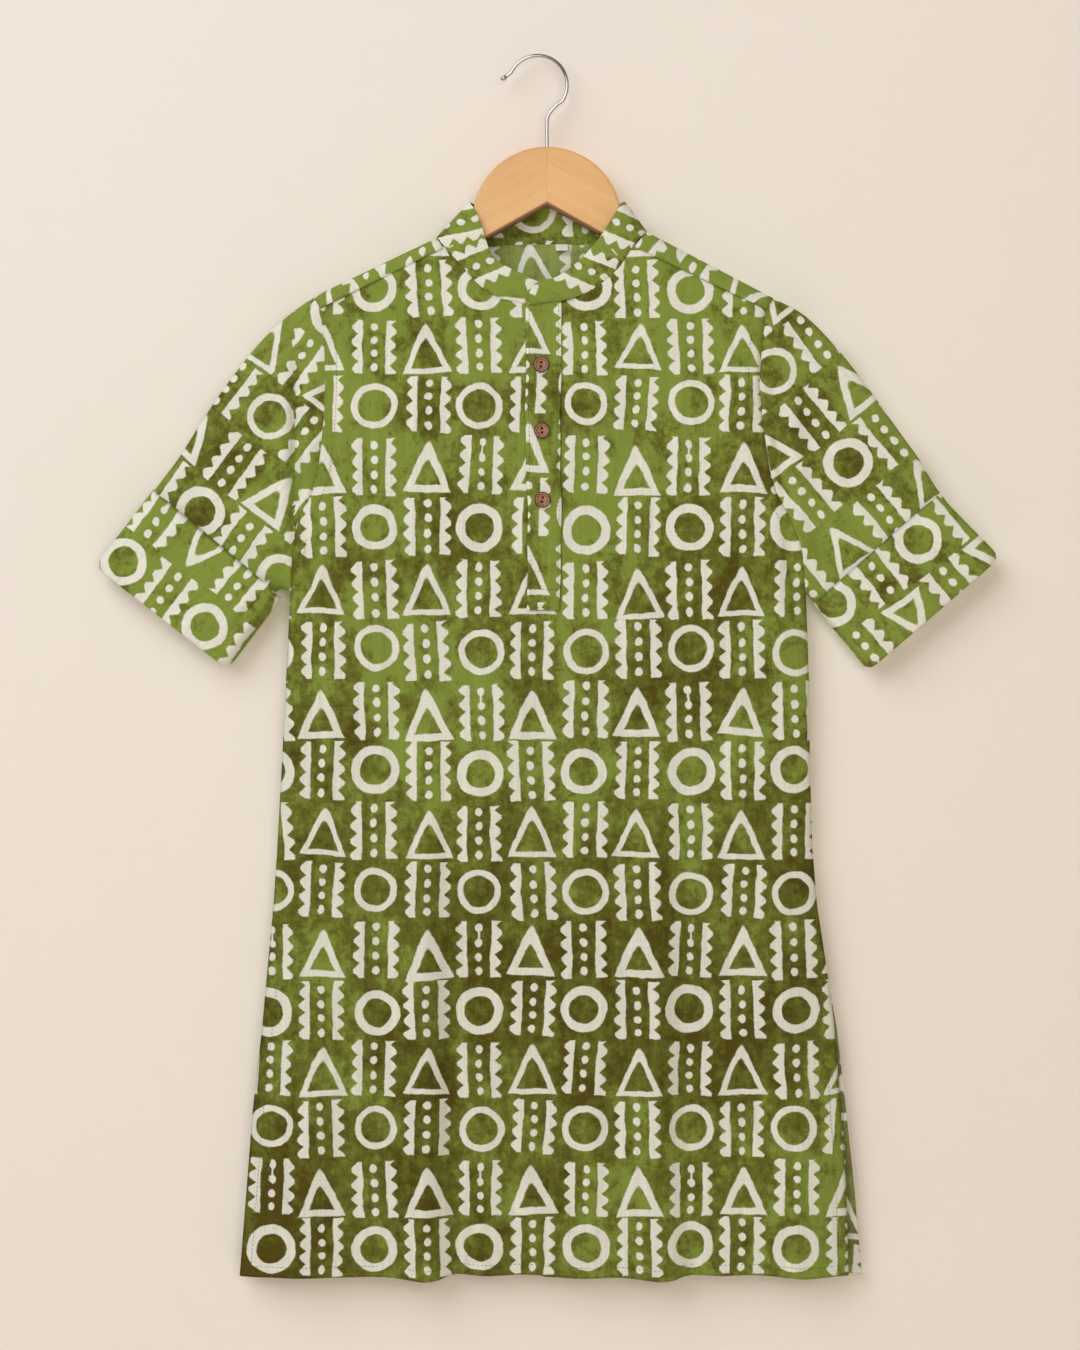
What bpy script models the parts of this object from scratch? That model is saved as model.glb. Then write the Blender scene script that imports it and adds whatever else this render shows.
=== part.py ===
"""A child's kurta tunic hanging flat on a wooden hanger.

The kurta is cut from one printed cotton: a front with a half placket, a back that reaches over the
shoulders to a forward seam, two short sleeves with deep turned-up cuffs, and a stand collar.
X runs to the wearer's left, the front faces -Y, and the origin is inside the crown of the hook,
where a rail holds the hanger.
"""

import math

import bmesh
import bpy
from mathutils import Matrix, Vector

MM = 0.001  # every size below is in millimetres

# --- driving dimensions -------------------------------------------------------------------------
CLOTH = 1.2  # wall of one layer of cloth
DOUBLE = 1.5  # wall of the collar, placket and cuffs, which are sewn of two layers
GAP = 0.3  # between pieces that meet or lie on each other
ARMHOLE_GAP = 0.8  # between sleeve and body, whose walls lean to each other
BODY_DEPTH = 8.0  # from the hanger's plane to the cloth, where the hanger's arms fill it
HEM_DEPTH = 9.2  # the same at the hem
SIDE_DEPTH = CLOTH / 2 + GAP / 2  # at the side seams, where front and back meet
SIDE_ROUND = 46.0  # how far in from a side seam the cloth has its full depth
UNDERARM_ROUND = 30.0  # the same, up the armhole from the underarm
HEM_Z = -878.5
SLIT_TOP_Z = -668.0
UNDERARM_Z = -384.5
SLIT_DEPTH = 2.6  # how far front and back stand apart at the foot of the side slits, from mid-plane

HANGER_X = 6.7  # the hanger's middle, to the side of the hook's crown
WOOD_THICK = 10.0
WIRE_RADIUS = 1.6

# The body's outline: height, then the front's and the back's left and right edges.
SIDE_SEAMS = (
    # z, front_left, front_right, back_left, back_right
    (-879.5, -221.0, 216.8, -221.5, 227.0),
    (-816.0, -216.0, 215.0, -216.5, 221.4),
    (-758.0, -211.5, 211.0, -212.0, 215.2),
    (-701.0, -205.0, 207.0, -205.2, 208.6),
    (SLIT_TOP_Z, -202.0, 205.0, -202.0, 205.0),
    (-571.0, -194.0, 197.5, -194.0, 197.5),
    (-457.0, -188.0, 190.5, -188.0, 190.5),
    (UNDERARM_Z, -184.5, 186.0, -184.5, 186.0),
)
# The armhole seams, from the underarm up to the shoulder seam.
ARMHOLES = (
    # z, left, right
    (UNDERARM_Z, -184.5, 186.0),
    (-352.0, -183.0, 183.6),
    (-331.0, -179.0, 174.5),
    (-316.0, -169.5, 165.5),
    (-298.0, -164.0, 160.0),
    (-265.0, -161.0, 155.6),
    (-236.0, -159.4, 152.8),
    (-208.0, -160.2, 154.6),
    (-180.0, -163.4, 158.2),
)
# The shoulders: the fold over the hanger, and the seam in front of it.
SHOULDERS = {
    # side: (fold at armhole, fold at neck, seam at armhole, seam at neck), each x, z
    "left": ((-169.0, -172.6), (-80.0, -130.0), (-163.4, -180.0), (-75.0, -136.8)),
    "right": ((163.4, -173.4), (72.4, -125.8), (158.2, -181.0), (63.0, -135.8)),
}
# The neck seam of the front, from the shoulder seam to the slit's edge.
NECKLINES = {
    "left": (
        (-75.0, -136.8),
        (-62.0, -150.4),
        (-49.0, -164.8),
        (-35.3, -173.8),
        (-12.0, -178.6),
    ),
    "right": (
        (63.0, -135.8),
        (52.6, -151.8),
        (37.4, -165.8),
        (23.8, -172.8),
        (11.0, -176.6),
    ),
}
BACK_NECK_DIP = 1.6  # how far the back neck seam sags between the shoulders
PLACKET_FOOT_Z = -397.0
SLIT_EDGES = {"left": -12.0, "right": 11.0}  # the front's slit, behind the placket

# The largest folds of the hanging cloth: soft ridges (+) and troughs (-) that die out upwards.
FRONT_FOLDS = (
    # x_at_hem, x_at_top, z_top, half_width, depth
    (-176.0, -160.0, -560.0, 20.0, 2.0),
    (-84.0, -96.0, -470.0, 20.0, 5.2),
    (-24.0, -30.0, -520.0, 30.0, -3.4),
    (82.0, 70.0, -440.0, 24.0, 5.4),
    (26.0, 20.0, -600.0, 18.0, 1.6),
    (140.0, 128.0, -540.0, 24.0, -2.2),
    (186.0, 170.0, -600.0, 16.0, 2.4),
)
BACK_FOLDS = (
    (-150.0, -130.0, -520.0, 26.0, 3.2),
    (-62.0, -50.0, -430.0, 24.0, 4.2),
    (22.0, 12.0, -560.0, 26.0, -2.6),
    (96.0, 84.0, -460.0, 22.0, 4.0),
    (170.0, 150.0, -600.0, 18.0, 2.0),
)

# A sleeve: its upper fold from the shoulder to the hem, its lower fold from the underarm,
# and the cuff's four corners.
SLEEVES = {
    "left": {
        "upper": (
            (-169.0, -172.6),
            (-191.5, -189.7),
            (-211.0, -209.5),
            (-231.8, -240.0),
            (-250.6, -268.2),
            (-263.5, -290.0),
            (-276.0, -315.0),
            (-314.4, -365.8),
        ),
        "lower": ((-184.5, -384.5), (-198.0, -386.5), (-229.4, -433.4)),
        "cuff_upper_edge": ((-278.6, -314.6), (-194.5, -389.2)),
        "cuff_foot": ((-318.4, -367.4), (-227.2, -438.6)),
    },
    "right": {
        "upper": (
            (163.4, -173.4),
            (186.0, -185.8),
            (208.0, -207.9),
            (229.0, -234.2),
            (253.3, -268.2),
            (270.0, -291.0),
            (279.6, -311.6),
            (316.2, -358.6),
        ),
        "lower": ((186.0, -384.5), (200.0, -388.5), (232.4, -434.4)),
        "cuff_upper_edge": ((283.4, -310.6), (196.3, -391.6)),
        "cuff_foot": ((323.6, -360.2), (229.6, -440.4)),
    },
}
SLEEVE_DEPTH = 6.4
SLEEVE_ROUND = 11.0  # the in-plane radius of a sleeve's folds at its hem
CUFF_DEPTH = 8.2
CUFF_ROUND = 12.0

# The stand collar, from its left end under the lap, round the back, to its right end on top.
COLLAR = (
    # seam_x, seam_z, top_x, top_z, depth (share of BODY_DEPTH, + at the back), lap (towards the front)
    (9.0, -176.6, 9.0, -163.0, -1.0, -1.3),
    (-5.0, -178.0, -2.0, -162.6, -1.0, -1.0),
    (-14.5, -178.0, -9.0, -160.8, -1.0, -0.3),
    (-26.0, -175.6, -16.6, -156.8, -1.0, 0.0),
    (-35.6, -173.0, -25.7, -152.8, -1.0, 0.0),
    (-49.2, -164.0, -33.8, -148.4, -1.0, 0.0),
    (-62.0, -149.8, -40.8, -141.0, -1.0, 0.0),
    (-74.6, -136.2, -47.2, -121.4, -1.0, 0.0),
    (-77.2, -132.3, -51.6, -110.5, -0.8, 0.0),
    (-79.4, -129.6, -55.8, -103.8, 0.0, 0.0),
    (-77.2, -132.3, -52.5, -104.2, 0.8, 0.0),
    (-73.0, -136.6, -48.0, -104.6, 1.0, 0.0),
    (-40.0, -137.0, -34.0, -105.2, 1.0, 0.0),
    (-6.0, -137.6, -4.0, -105.6, 1.0, 0.0),
    (30.0, -136.6, 26.0, -105.0, 1.0, 0.0),
    (61.0, -135.4, 47.0, -104.2, 1.0, 0.0),
    (67.8, -129.4, 51.8, -103.9, 0.8, 0.0),
    (71.6, -125.4, 55.8, -103.6, 0.0, 0.0),
    (67.8, -129.4, 51.4, -109.0, -0.8, 0.0),
    (62.4, -135.2, 46.0, -118.0, -1.0, 0.0),
    (52.2, -151.2, 37.0, -131.4, -1.0, 0.0),
    (37.2, -165.0, 24.4, -145.6, -1.0, 0.2),
    (23.6, -172.0, 13.6, -154.4, -1.0, 0.8),
    (12.6, -175.4, 5.4, -159.4, -1.0, 1.6),
    (0.0, -177.2, -3.0, -161.2, -1.0, 2.2),
    (-9.4, -178.2, -8.6, -164.0, -1.0, 2.3),
    (-13.6, -178.6, -12.6, -170.4, -1.0, 2.3),
)
OVER_PLACKET = ((-14.0, 12.2, -179.4), (-12.4, 11.8, -400.0))  # left, right, z: top and foot
UNDER_PLACKET = ((-14.0, 13.0, -179.4), (-13.6, 12.6, -399.6))
BUTTONS = ((-2.6, -222.0), (-1.6, -269.4), (-1.2, -319.2))  # x, z
BUTTON_RADIUS = 5.75
BUTTON_THICK = 2.6
BUTTON_HOLE_RADIUS = 0.75
BUTTON_HOLE_PITCH = 2.7
LABEL = (6.0, 15.2, -142.0, -134.6)  # left, right, foot, top of the loop label at the back neck

LABEL_WALL = 0.9  # a doubled tape

# The hanger.
HUMP_RADIUS = 54.0
HUMP_TOP_Z = -65.2
ARM_TIP_X = 150.0
ARM_TOP = ((58.0, -124.0), (62.0, -130.6), (80.0, -136.4), (146.0, -168.6))  # x, z along the arm's upper edge
ARM_FOOT = ((143.0, -185.6), (50.0, -134.4), (0.0, -106.6))  # x, z along its lower edge
HOOK_RADIUS = 21.2  # of the hook's round, at the middle of the wire
SHANK_DEPTH = 24.0  # of the hook's shank in the wood


# --- helpers -------------------------------------------------------------------------------------
def material(name, colour, roughness, metallic=0.0):
    made = bpy.data.materials.new(name)
    made.use_nodes = True
    shader = made.node_tree.nodes["Principled BSDF"]
    shader.inputs["Base Color"].default_value = (*colour, 1.0)
    shader.inputs["Roughness"].default_value = roughness
    shader.inputs["Metallic"].default_value = metallic
    return made


def mix(a, b, share):
    return a + (b - a) * share


def ease(share):
    """0 to 1 with a soft start and end."""
    share = min(max(share, 0.0), 1.0)
    return share * share * (3 - 2 * share)


def look_up(rows, column, z):
    """A column of a table of rows that rise in z, read between its rows."""
    if z <= rows[0][0]:
        return rows[0][column]
    for low, high in zip(rows, rows[1:]):
        if z <= high[0]:
            return mix(low[column], high[column], (z - low[0]) / (high[0] - low[0]))
    return rows[-1][column]


def on_line(points, share):
    """The point at a share of the way along a line through points, on a Catmull-Rom curve."""
    points = [Vector(p) for p in points]
    steps = [(b - a).length for a, b in zip(points, points[1:])]
    left = min(max(share, 0.0), 1.0) * sum(steps)
    for k, step in enumerate(steps):
        if left <= step or k == len(steps) - 1:
            break
        left -= step
    t = min(left / step, 1.0)
    a, b = points[k], points[k + 1]
    before = points[k - 1] if k else a * 2 - b
    after = points[k + 2] if k + 2 < len(points) else b * 2 - a
    return 0.5 * (
        2 * a
        + (b - before) * t
        + (2 * before - 5 * a + 4 * b - after) * t**2
        + (3 * a - before - 3 * b + after) * t**3
    )


def patch(left, right, foot, top, u, v):
    """A point of the surface that spans four edges. Each edge is a function of 0 to 1."""
    across = mix(left(v), right(v), u)
    along = mix(foot(u), top(u), v)
    corners = mix(mix(foot(0), foot(1), u), mix(top(0), top(1), u), v)
    return across + along - corners


def fold(distance, radius):
    """The share of its full depth that cloth has at a distance from a fold of that radius."""
    return math.sqrt(max(0.0, 1 - (1 - min(max(distance, 0.0) / radius, 1.0)) ** 2))


def add_object(name, data, finish):
    made = bpy.data.objects.new(name, data)
    bpy.context.scene.collection.objects.link(made)
    made.data.materials.append(finish)
    made.parent = garment
    return made


def cloth(name, columns, rows, place, wall, finish, keep=None):
    """A wall of cloth. place(column, row) is the middle of the wall, keep(column, row) a grid face."""
    bm = bmesh.new()
    bmesh.ops.create_grid(bm, x_segments=columns, y_segments=rows, size=0.5)

    def index(co):
        return (co.x + 0.5) * columns, (co.y + 0.5) * rows

    if keep:
        cut = [f for f in bm.faces if not keep(*map(int, index(f.calc_center_median())))]
        bmesh.ops.delete(bm, geom=cut, context="FACES")
    for vert in bm.verts:
        column, row = map(round, index(vert.co))
        vert.co = Vector(place(column, row)) * MM
    bmesh.ops.remove_doubles(bm, verts=bm.verts, dist=0.01 * MM)
    mesh = bpy.data.meshes.new(name)
    bm.to_mesh(mesh)
    bm.free()
    mesh.shade_smooth()
    made = add_object(name, mesh, finish)
    solid = made.modifiers.new("wall", "SOLIDIFY")
    solid.thickness = wall * MM
    solid.offset = 0.0
    solid.use_even_offset = True
    solid.use_quality_normals = True
    return made


# --- where the cloth lies -------------------------------------------------------------------------
def armhole_x(side, z):
    column = 1 if side == "left" else 2
    if z <= UNDERARM_Z:
        return look_up(SIDE_SEAMS, column, z)
    return look_up(ARMHOLES, column, z)


def edge_depth(z):
    """The cloth's depth at the body's side: small at the seam, full up the armhole."""
    if z > UNDERARM_Z:
        return max(SIDE_DEPTH, BODY_DEPTH * fold(z - UNDERARM_Z, UNDERARM_ROUND))
    return SIDE_DEPTH + SLIT_DEPTH * ease((SLIT_TOP_Z - z) / (SLIT_TOP_Z - HEM_Z))


def fold_relief(folds, x, z):
    relief = 0.0
    for x_hem, x_top, z_top, half_width, depth in folds:
        drop = (z_top - z) / (z_top - HEM_Z)
        if drop > 0:
            middle = mix(x_top, x_hem, drop)
            relief += depth * ease(drop) * math.exp(-(((x - middle) / half_width) ** 2))
    return relief


def body_depth(face, x, z):
    """How far the front or back lies from the hanger's plane."""
    first = 1 if face == "front" else 3
    if z > UNDERARM_Z:
        low, high = armhole_x("left", z), armhole_x("right", z)
    else:
        low, high = look_up(SIDE_SEAMS, first, z), look_up(SIDE_SEAMS, first + 1, z)
    inside = max(min(x - low, high - x), 0.0)
    full = mix(BODY_DEPTH, HEM_DEPTH, ease((UNDERARM_Z - z) / (UNDERARM_Z - HEM_Z)))
    side = edge_depth(z)
    share = fold(inside, SIDE_ROUND)
    relief = fold_relief(FRONT_FOLDS if face == "front" else BACK_FOLDS, x, z)
    return mix(side, full, share) + relief * share


def hem_z(face, x):
    """The hem hangs lowest where the cloth comes forward."""
    relief = fold_relief(FRONT_FOLDS if face == "front" else BACK_FOLDS, x, HEM_Z)
    return HEM_Z - 0.5 * relief


def shoulder(side, share, over):
    """On the back's reach over a shoulder: share 0 at the armhole, over 0 at the back, 1 in front."""
    fold_out, fold_in, seam_out, seam_in = (Vector(p) for p in SHOULDERS[side])
    seam, crest = mix(seam_out, seam_in, share), mix(fold_out, fold_in, share)
    turn = math.pi * over
    at = mix(seam, crest, math.sin(turn))
    return at.x, BODY_DEPTH * math.cos(turn), at.y


# --- the body ------------------------------------------------------------------------------------
SHOULDER_COLUMNS = 4
NECK_COLUMNS = 4
FRONT_HALF = SHOULDER_COLUMNS + NECK_COLUMNS
SLIT_COLUMNS = 2
LOWER_ROWS = 11
UNDERARM_STEPS = 3  # up the round of the underarm, and over half of a fold
ARMHOLE_STEPS = 7  # up the rest of the armhole
UPPER_ROWS = UNDERARM_STEPS + ARMHOLE_STEPS
WRAP_ROWS = 2 * UNDERARM_STEPS
BACK_NECK_COLUMNS = 6


def armhole(side, row):
    """A point of the armhole seam, from row 0 at the underarm to the shoulder seam."""
    if row <= UNDERARM_STEPS:
        z = UNDERARM_Z + UNDERARM_ROUND * (1 - math.cos(math.pi / 2 * row / UNDERARM_STEPS))
    else:
        share = (row - UNDERARM_STEPS) / ARMHOLE_STEPS
        z = mix(UNDERARM_Z + UNDERARM_ROUND, SHOULDERS[side][2][1], share)
    return Vector((armhole_x(side, z), z))


def front_place(column, row):
    middle = FRONT_HALF + SLIT_COLUMNS / 2
    side = "left" if column < middle else "right"
    if column > middle:
        column = 2 * FRONT_HALF + SLIT_COLUMNS - column
    in_slit = column > FRONT_HALF
    u = min(column, FRONT_HALF) / FRONT_HALF
    neck, seam = NECKLINES[side], SHOULDERS[side]

    def top(u):
        share = u * FRONT_HALF / SHOULDER_COLUMNS
        if share <= 1:
            return mix(Vector(seam[2]), Vector(seam[3]), share)
        return on_line(neck, (u * FRONT_HALF - SHOULDER_COLUMNS) / NECK_COLUMNS)

    def slit(v):
        return mix(Vector((SLIT_EDGES[side], PLACKET_FOOT_Z)), Vector(neck[-1]), v)

    def foot(u):
        return mix(armhole(side, 0), slit(0), u**1.25)  # closer columns where the side rounds off

    if row <= LOWER_ROWS:
        z = mix(HEM_Z, foot(u).y, row / LOWER_ROWS)
        x = mix(armhole_x(side, z), SLIT_EDGES[side], u**1.25)
    else:
        rise = (row - LOWER_ROWS) / UPPER_ROWS
        x, z = patch(lambda v: armhole(side, v * UPPER_ROWS), slit, foot, top, u, rise)
        z -= GAP
    if in_slit:
        x = (SLIT_EDGES["left"] + SLIT_EDGES["right"]) / 2
    if row == 0:
        z = hem_z("front", x)
    return x, -body_depth("front", x, z), z


def front_keep(column, row):
    in_slit = FRONT_HALF <= column < FRONT_HALF + SLIT_COLUMNS
    return not (in_slit and row >= LOWER_ROWS)


def back_place(column, row):
    columns = 2 * SHOULDER_COLUMNS + BACK_NECK_COLUMNS

    def top(u):
        at = u * columns
        if at <= SHOULDER_COLUMNS:
            x, _, z = shoulder("left", at / SHOULDER_COLUMNS, 0)
        elif at >= columns - SHOULDER_COLUMNS:
            x, _, z = shoulder("right", (columns - at) / SHOULDER_COLUMNS, 0)
        else:
            share = (at - SHOULDER_COLUMNS) / BACK_NECK_COLUMNS
            (x0, _, z0), (x1, _, z1) = shoulder("left", 1, 0), shoulder("right", 1, 0)
            x = mix(x0, x1, share)
            z = mix(z0, z1, share) - BACK_NECK_DIP * math.sin(math.pi * share)
        return Vector((x, z))

    def left(v):
        return armhole("left", v * UPPER_ROWS)

    def right(v):
        return armhole("right", v * UPPER_ROWS)

    def foot(u):
        return mix(left(0), right(0), u)

    if row > LOWER_ROWS + UPPER_ROWS:
        over = (row - LOWER_ROWS - UPPER_ROWS) / WRAP_ROWS
        if column <= SHOULDER_COLUMNS:
            return shoulder("left", column / SHOULDER_COLUMNS, over)
        if column >= columns - SHOULDER_COLUMNS:
            return shoulder("right", (columns - column) / SHOULDER_COLUMNS, over)
        return 0.0, 0.0, 0.0
    if row <= LOWER_ROWS:
        z = mix(HEM_Z, UNDERARM_Z, row / LOWER_ROWS)
        x = mix(look_up(SIDE_SEAMS, 3, z), look_up(SIDE_SEAMS, 4, z), column / columns)
    else:
        rise = (row - LOWER_ROWS) / UPPER_ROWS
        x, z = patch(left, right, foot, top, column / columns, rise)
    if row == 0:
        z = hem_z("back", x)
    return x, body_depth("back", x, z), z


def back_keep(column, row):
    over_a_shoulder = (
        column < SHOULDER_COLUMNS or column >= SHOULDER_COLUMNS + BACK_NECK_COLUMNS
    )
    return row < LOWER_ROWS + UPPER_ROWS or over_a_shoulder


# --- sleeves and cuffs ------------------------------------------------------------------------------
HALF_ROUND = UPPER_ROWS + UNDERARM_STEPS
SLEEVE_ROWS = 9
CUFF_ROWS = 3


def around_tube(step, width, upper_round, lower_round):
    """(share of the width from the upper fold, share of the depth) at a step round a flat tube."""
    face = 1 if step <= HALF_ROUND else -1
    step = min(step, 2 * HALF_ROUND - step)
    if step <= UNDERARM_STEPS:
        turn = math.pi / 2 * step / UNDERARM_STEPS
        return upper_round * (1 - math.cos(turn)) / width, face * math.sin(turn)
    if step >= HALF_ROUND - UNDERARM_STEPS:
        turn = math.pi / 2 * (HALF_ROUND - step) / UNDERARM_STEPS
        return 1 - lower_round * (1 - math.cos(turn)) / width, face * math.sin(turn)
    share = (step - UNDERARM_STEPS) / ARMHOLE_STEPS
    return mix(upper_round / width, 1 - lower_round / width, share), face


def sleeve_place(side, step, row):
    cut = SLEEVES[side]
    crest, _, seam, _ = (Vector(p) for p in SHOULDERS[side])
    s = (row / SLEEVE_ROWS) ** 1.15
    upper, lower = on_line(cut["upper"], s), on_line(cut["lower"], s)
    width = (upper - lower).length
    upper_round = mix((crest - seam).length, SLEEVE_ROUND, ease(s * 3))
    lower_round = mix(UNDERARM_ROUND, SLEEVE_ROUND, ease(s * 2))
    w, depth = around_tube(step, width, upper_round, lower_round)
    level = min(step, 2 * HALF_ROUND - step)
    if level <= UNDERARM_STEPS:
        at_body = mix(crest, seam, 1 - math.cos(math.pi / 2 * level / UNDERARM_STEPS))
    else:
        at_body = armhole(side, HALF_ROUND - level)
    from_straight = at_body - mix(crest, armhole(side, 0), w)
    x, z = mix(upper, lower, w) + from_straight * (1 - s)
    x += ARMHOLE_GAP if side == "right" else -ARMHOLE_GAP
    return x, -depth * mix(BODY_DEPTH, SLEEVE_DEPTH, ease(s * 2)), z


def cuff_place(side, step, row):
    cut = SLEEVES[side]
    s = row / CUFF_ROWS
    ends = [
        mix(Vector(a), Vector(b), s) for a, b in zip(cut["cuff_upper_edge"], cut["cuff_foot"])
    ]
    width = (ends[0] - ends[1]).length
    w, depth = around_tube(step, width, CUFF_ROUND, CUFF_ROUND)
    at = mix(ends[0], ends[1], w)
    return at.x, -depth * CUFF_DEPTH, at.y


# --- collar, placket, label and buttons ---------------------------------------------------------------
COLLAR_ROWS = 3


def collar_place(column, row):
    seam_x, seam_z, top_x, top_z, depth, lap = COLLAR[column]
    share = row / COLLAR_ROWS
    return mix(seam_x, top_x, share), depth * BODY_DEPTH - lap, mix(seam_z, top_z, share)


def strip_place(ends, away, columns, rows, column, row):
    """A strip down the front, away in front of the panel's own surface."""
    (left, right, top), (foot_left, foot_right, foot) = ends
    drop = 1 - row / rows
    x = mix(mix(left, foot_left, drop), mix(right, foot_right, drop), column / columns)
    z = mix(top, foot, drop)
    return x, -body_depth("front", 0.0, z) - away, z


def label_place(column, row):
    left, right, foot, top = LABEL
    away = BODY_DEPTH - DOUBLE / 2 - GAP - LABEL_WALL / 2
    return mix(left, right, column / 2), away, mix(foot, top, row / 2)


def button(name, x, z, finish):
    """A turned disc with a dished middle and two holes for the thread."""
    face = -body_depth("front", 0.0, z) - CLOTH / 2 - GAP - DOUBLE - GAP
    bm = bmesh.new()
    bmesh.ops.create_cone(
        bm,
        cap_ends=True,
        segments=20,
        radius1=BUTTON_RADIUS * MM,
        radius2=BUTTON_RADIUS * MM,
        depth=BUTTON_THICK * MM,
    )
    front = max(bm.faces, key=lambda f: f.calc_center_median().z)
    bmesh.ops.inset_region(bm, faces=[front], thickness=1.1 * MM)
    bmesh.ops.inset_region(bm, faces=[front], thickness=0.5 * MM, depth=-0.6 * MM)
    bmesh.ops.rotate(bm, verts=bm.verts, matrix=Matrix.Rotation(math.pi / 2, 3, "X"))
    mesh = bpy.data.meshes.new(name)
    bm.to_mesh(mesh)
    bm.free()
    made = add_object(name, mesh, finish)
    made.location = Vector((x, face - BUTTON_THICK / 2, z)) * MM
    for sign in (-1, 1):
        bpy.ops.mesh.primitive_cylinder_add(
            vertices=10, radius=BUTTON_HOLE_RADIUS * MM, depth=4 * BUTTON_THICK * MM
        )
        drill = bpy.context.object
        drill.name = f"{name}_drill_{'low' if sign < 0 else 'high'}"
        drill.parent = garment
        drill.rotation_euler = (math.pi / 2, 0, 0)
        drill.location = made.location + Vector((0, 0, sign * BUTTON_HOLE_PITCH / 2)) * MM
        drill.hide_render = True
        drill.display_type = "WIRE"
        cut = made.modifiers.new("hole", "BOOLEAN")
        cut.operation = "DIFFERENCE"
        cut.object = drill
    return made


# --- the hanger ----------------------------------------------------------------------------------------
def arm(side, finish):
    """One glued half of the wooden hanger: half the round hump and an arm, with eased edges."""
    out = -1 if side == "left" else 1
    hump_z = HUMP_TOP_Z - HUMP_RADIUS
    start = math.degrees(math.acos(GAP / 2 / HUMP_RADIUS))
    outline = []
    for k in range(13):
        turn = math.radians(mix(start, 12.0, k / 12))
        outline.append((HUMP_RADIUS * math.cos(turn), hump_z + HUMP_RADIUS * math.sin(turn)))
    outline += ARM_TOP
    tip = (ARM_TIP_X, (ARM_TOP[-1][1] + ARM_FOOT[0][1]) / 2)
    outline += [(mix(ARM_TOP[-1][0], tip[0], 0.8), mix(ARM_TOP[-1][1], tip[1], 0.45)), tip]
    outline += [(mix(ARM_FOOT[0][0], tip[0], 0.8), mix(ARM_FOOT[0][1], tip[1], 0.45))]
    outline += [*ARM_FOOT[:-1], (GAP / 2, ARM_FOOT[-1][1])]
    bm = bmesh.new()
    verts = [bm.verts.new(Vector((out * x, -WOOD_THICK / 2, z)) * MM) for x, z in outline]
    face = bm.faces.new(verts)
    grown = bmesh.ops.extrude_face_region(bm, geom=[face])["geom"]
    moved = [g for g in grown if isinstance(g, bmesh.types.BMVert)]
    bmesh.ops.translate(bm, verts=moved, vec=Vector((0, WOOD_THICK, 0)) * MM)
    bmesh.ops.recalc_face_normals(bm, faces=bm.faces)
    weights = bm.edges.layers.float.new("bevel_weight_edge")
    for edge in bm.edges:
        a, b = edge.verts
        flat = abs(a.co.y - b.co.y) < 1e-6
        at_joint = abs(a.co.x) < GAP * MM and abs(b.co.x) < GAP * MM
        edge[weights] = 1.0 if flat and not at_joint else 0.0
    name = f"hanger_arm_{side}"
    mesh = bpy.data.meshes.new(name)
    bm.to_mesh(mesh)
    bm.free()
    made = add_object(name, mesh, finish)
    eased = made.modifiers.new("eased edges", "BEVEL")
    eased.width = 2.4 * MM
    eased.segments = 2
    eased.limit_method = "WEIGHT"
    bore = made.modifiers.new("shank bore", "BOOLEAN")
    bore.operation = "DIFFERENCE"
    bore.object = shank_drill
    return made


def hook(finish):
    """The steel hook: a round of wire, a flared tip with a ball end, and a shank in the wood."""
    round_x, round_z = -HANGER_X, WIRE_RADIUS - HOOK_RADIUS
    path = [(round_x - 26.6, round_z + 3.6), (round_x - 24.0, round_z + 5.2)]
    path += [(round_x - 21.2, round_z + 7.4)]
    for k in range(22):
        turn = math.radians(mix(154.0, -48.0, k / 21))
        path.append(
            (round_x + HOOK_RADIUS * math.cos(turn), round_z + HOOK_RADIUS * math.sin(turn))
        )
    path += [(2.7, -42.0), (0.5, -46.4), (0.0, -51.0), (0.0, HUMP_TOP_Z)]
    path += [(0.0, HUMP_TOP_Z - SHANK_DEPTH)]
    made_of = bpy.data.curves.new("hanger_hook", "CURVE")
    made_of.dimensions = "3D"
    made_of.bevel_depth = WIRE_RADIUS * MM
    made_of.bevel_resolution = 3
    made_of.use_fill_caps = True
    line = made_of.splines.new("POLY")
    points = 46
    line.points.add(points - 1)
    for k, point in enumerate(line.points):
        x, z = on_line(path, k / (points - 1))
        point.co = (*(Vector((x, 0, z)) * MM), 1.0)
    for k, radius in enumerate((0.7, 1.45, 1.1)):  # the ball end
        line.points[k].radius = radius
    return add_object("hanger_hook", made_of, finish)


# --- build -----------------------------------------------------------------------------------------------
for old in list(bpy.data.objects):
    bpy.data.objects.remove(old)

garment = bpy.data.objects.new("garment", None)
garment.location = (HANGER_X * MM, 0, 0)
bpy.context.scene.collection.objects.link(garment)

green_cotton = material("green_cotton", (0.24, 0.33, 0.07), 0.85)
brown_wood = material("brown_button", (0.36, 0.17, 0.10), 0.6)
pale_wood = material("pale_wood", (0.80, 0.52, 0.27), 0.4)
steel = material("steel", (0.72, 0.72, 0.74), 0.18, 1.0)
white_tape = material("white_tape", (0.80, 0.78, 0.72), 0.8)

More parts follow.
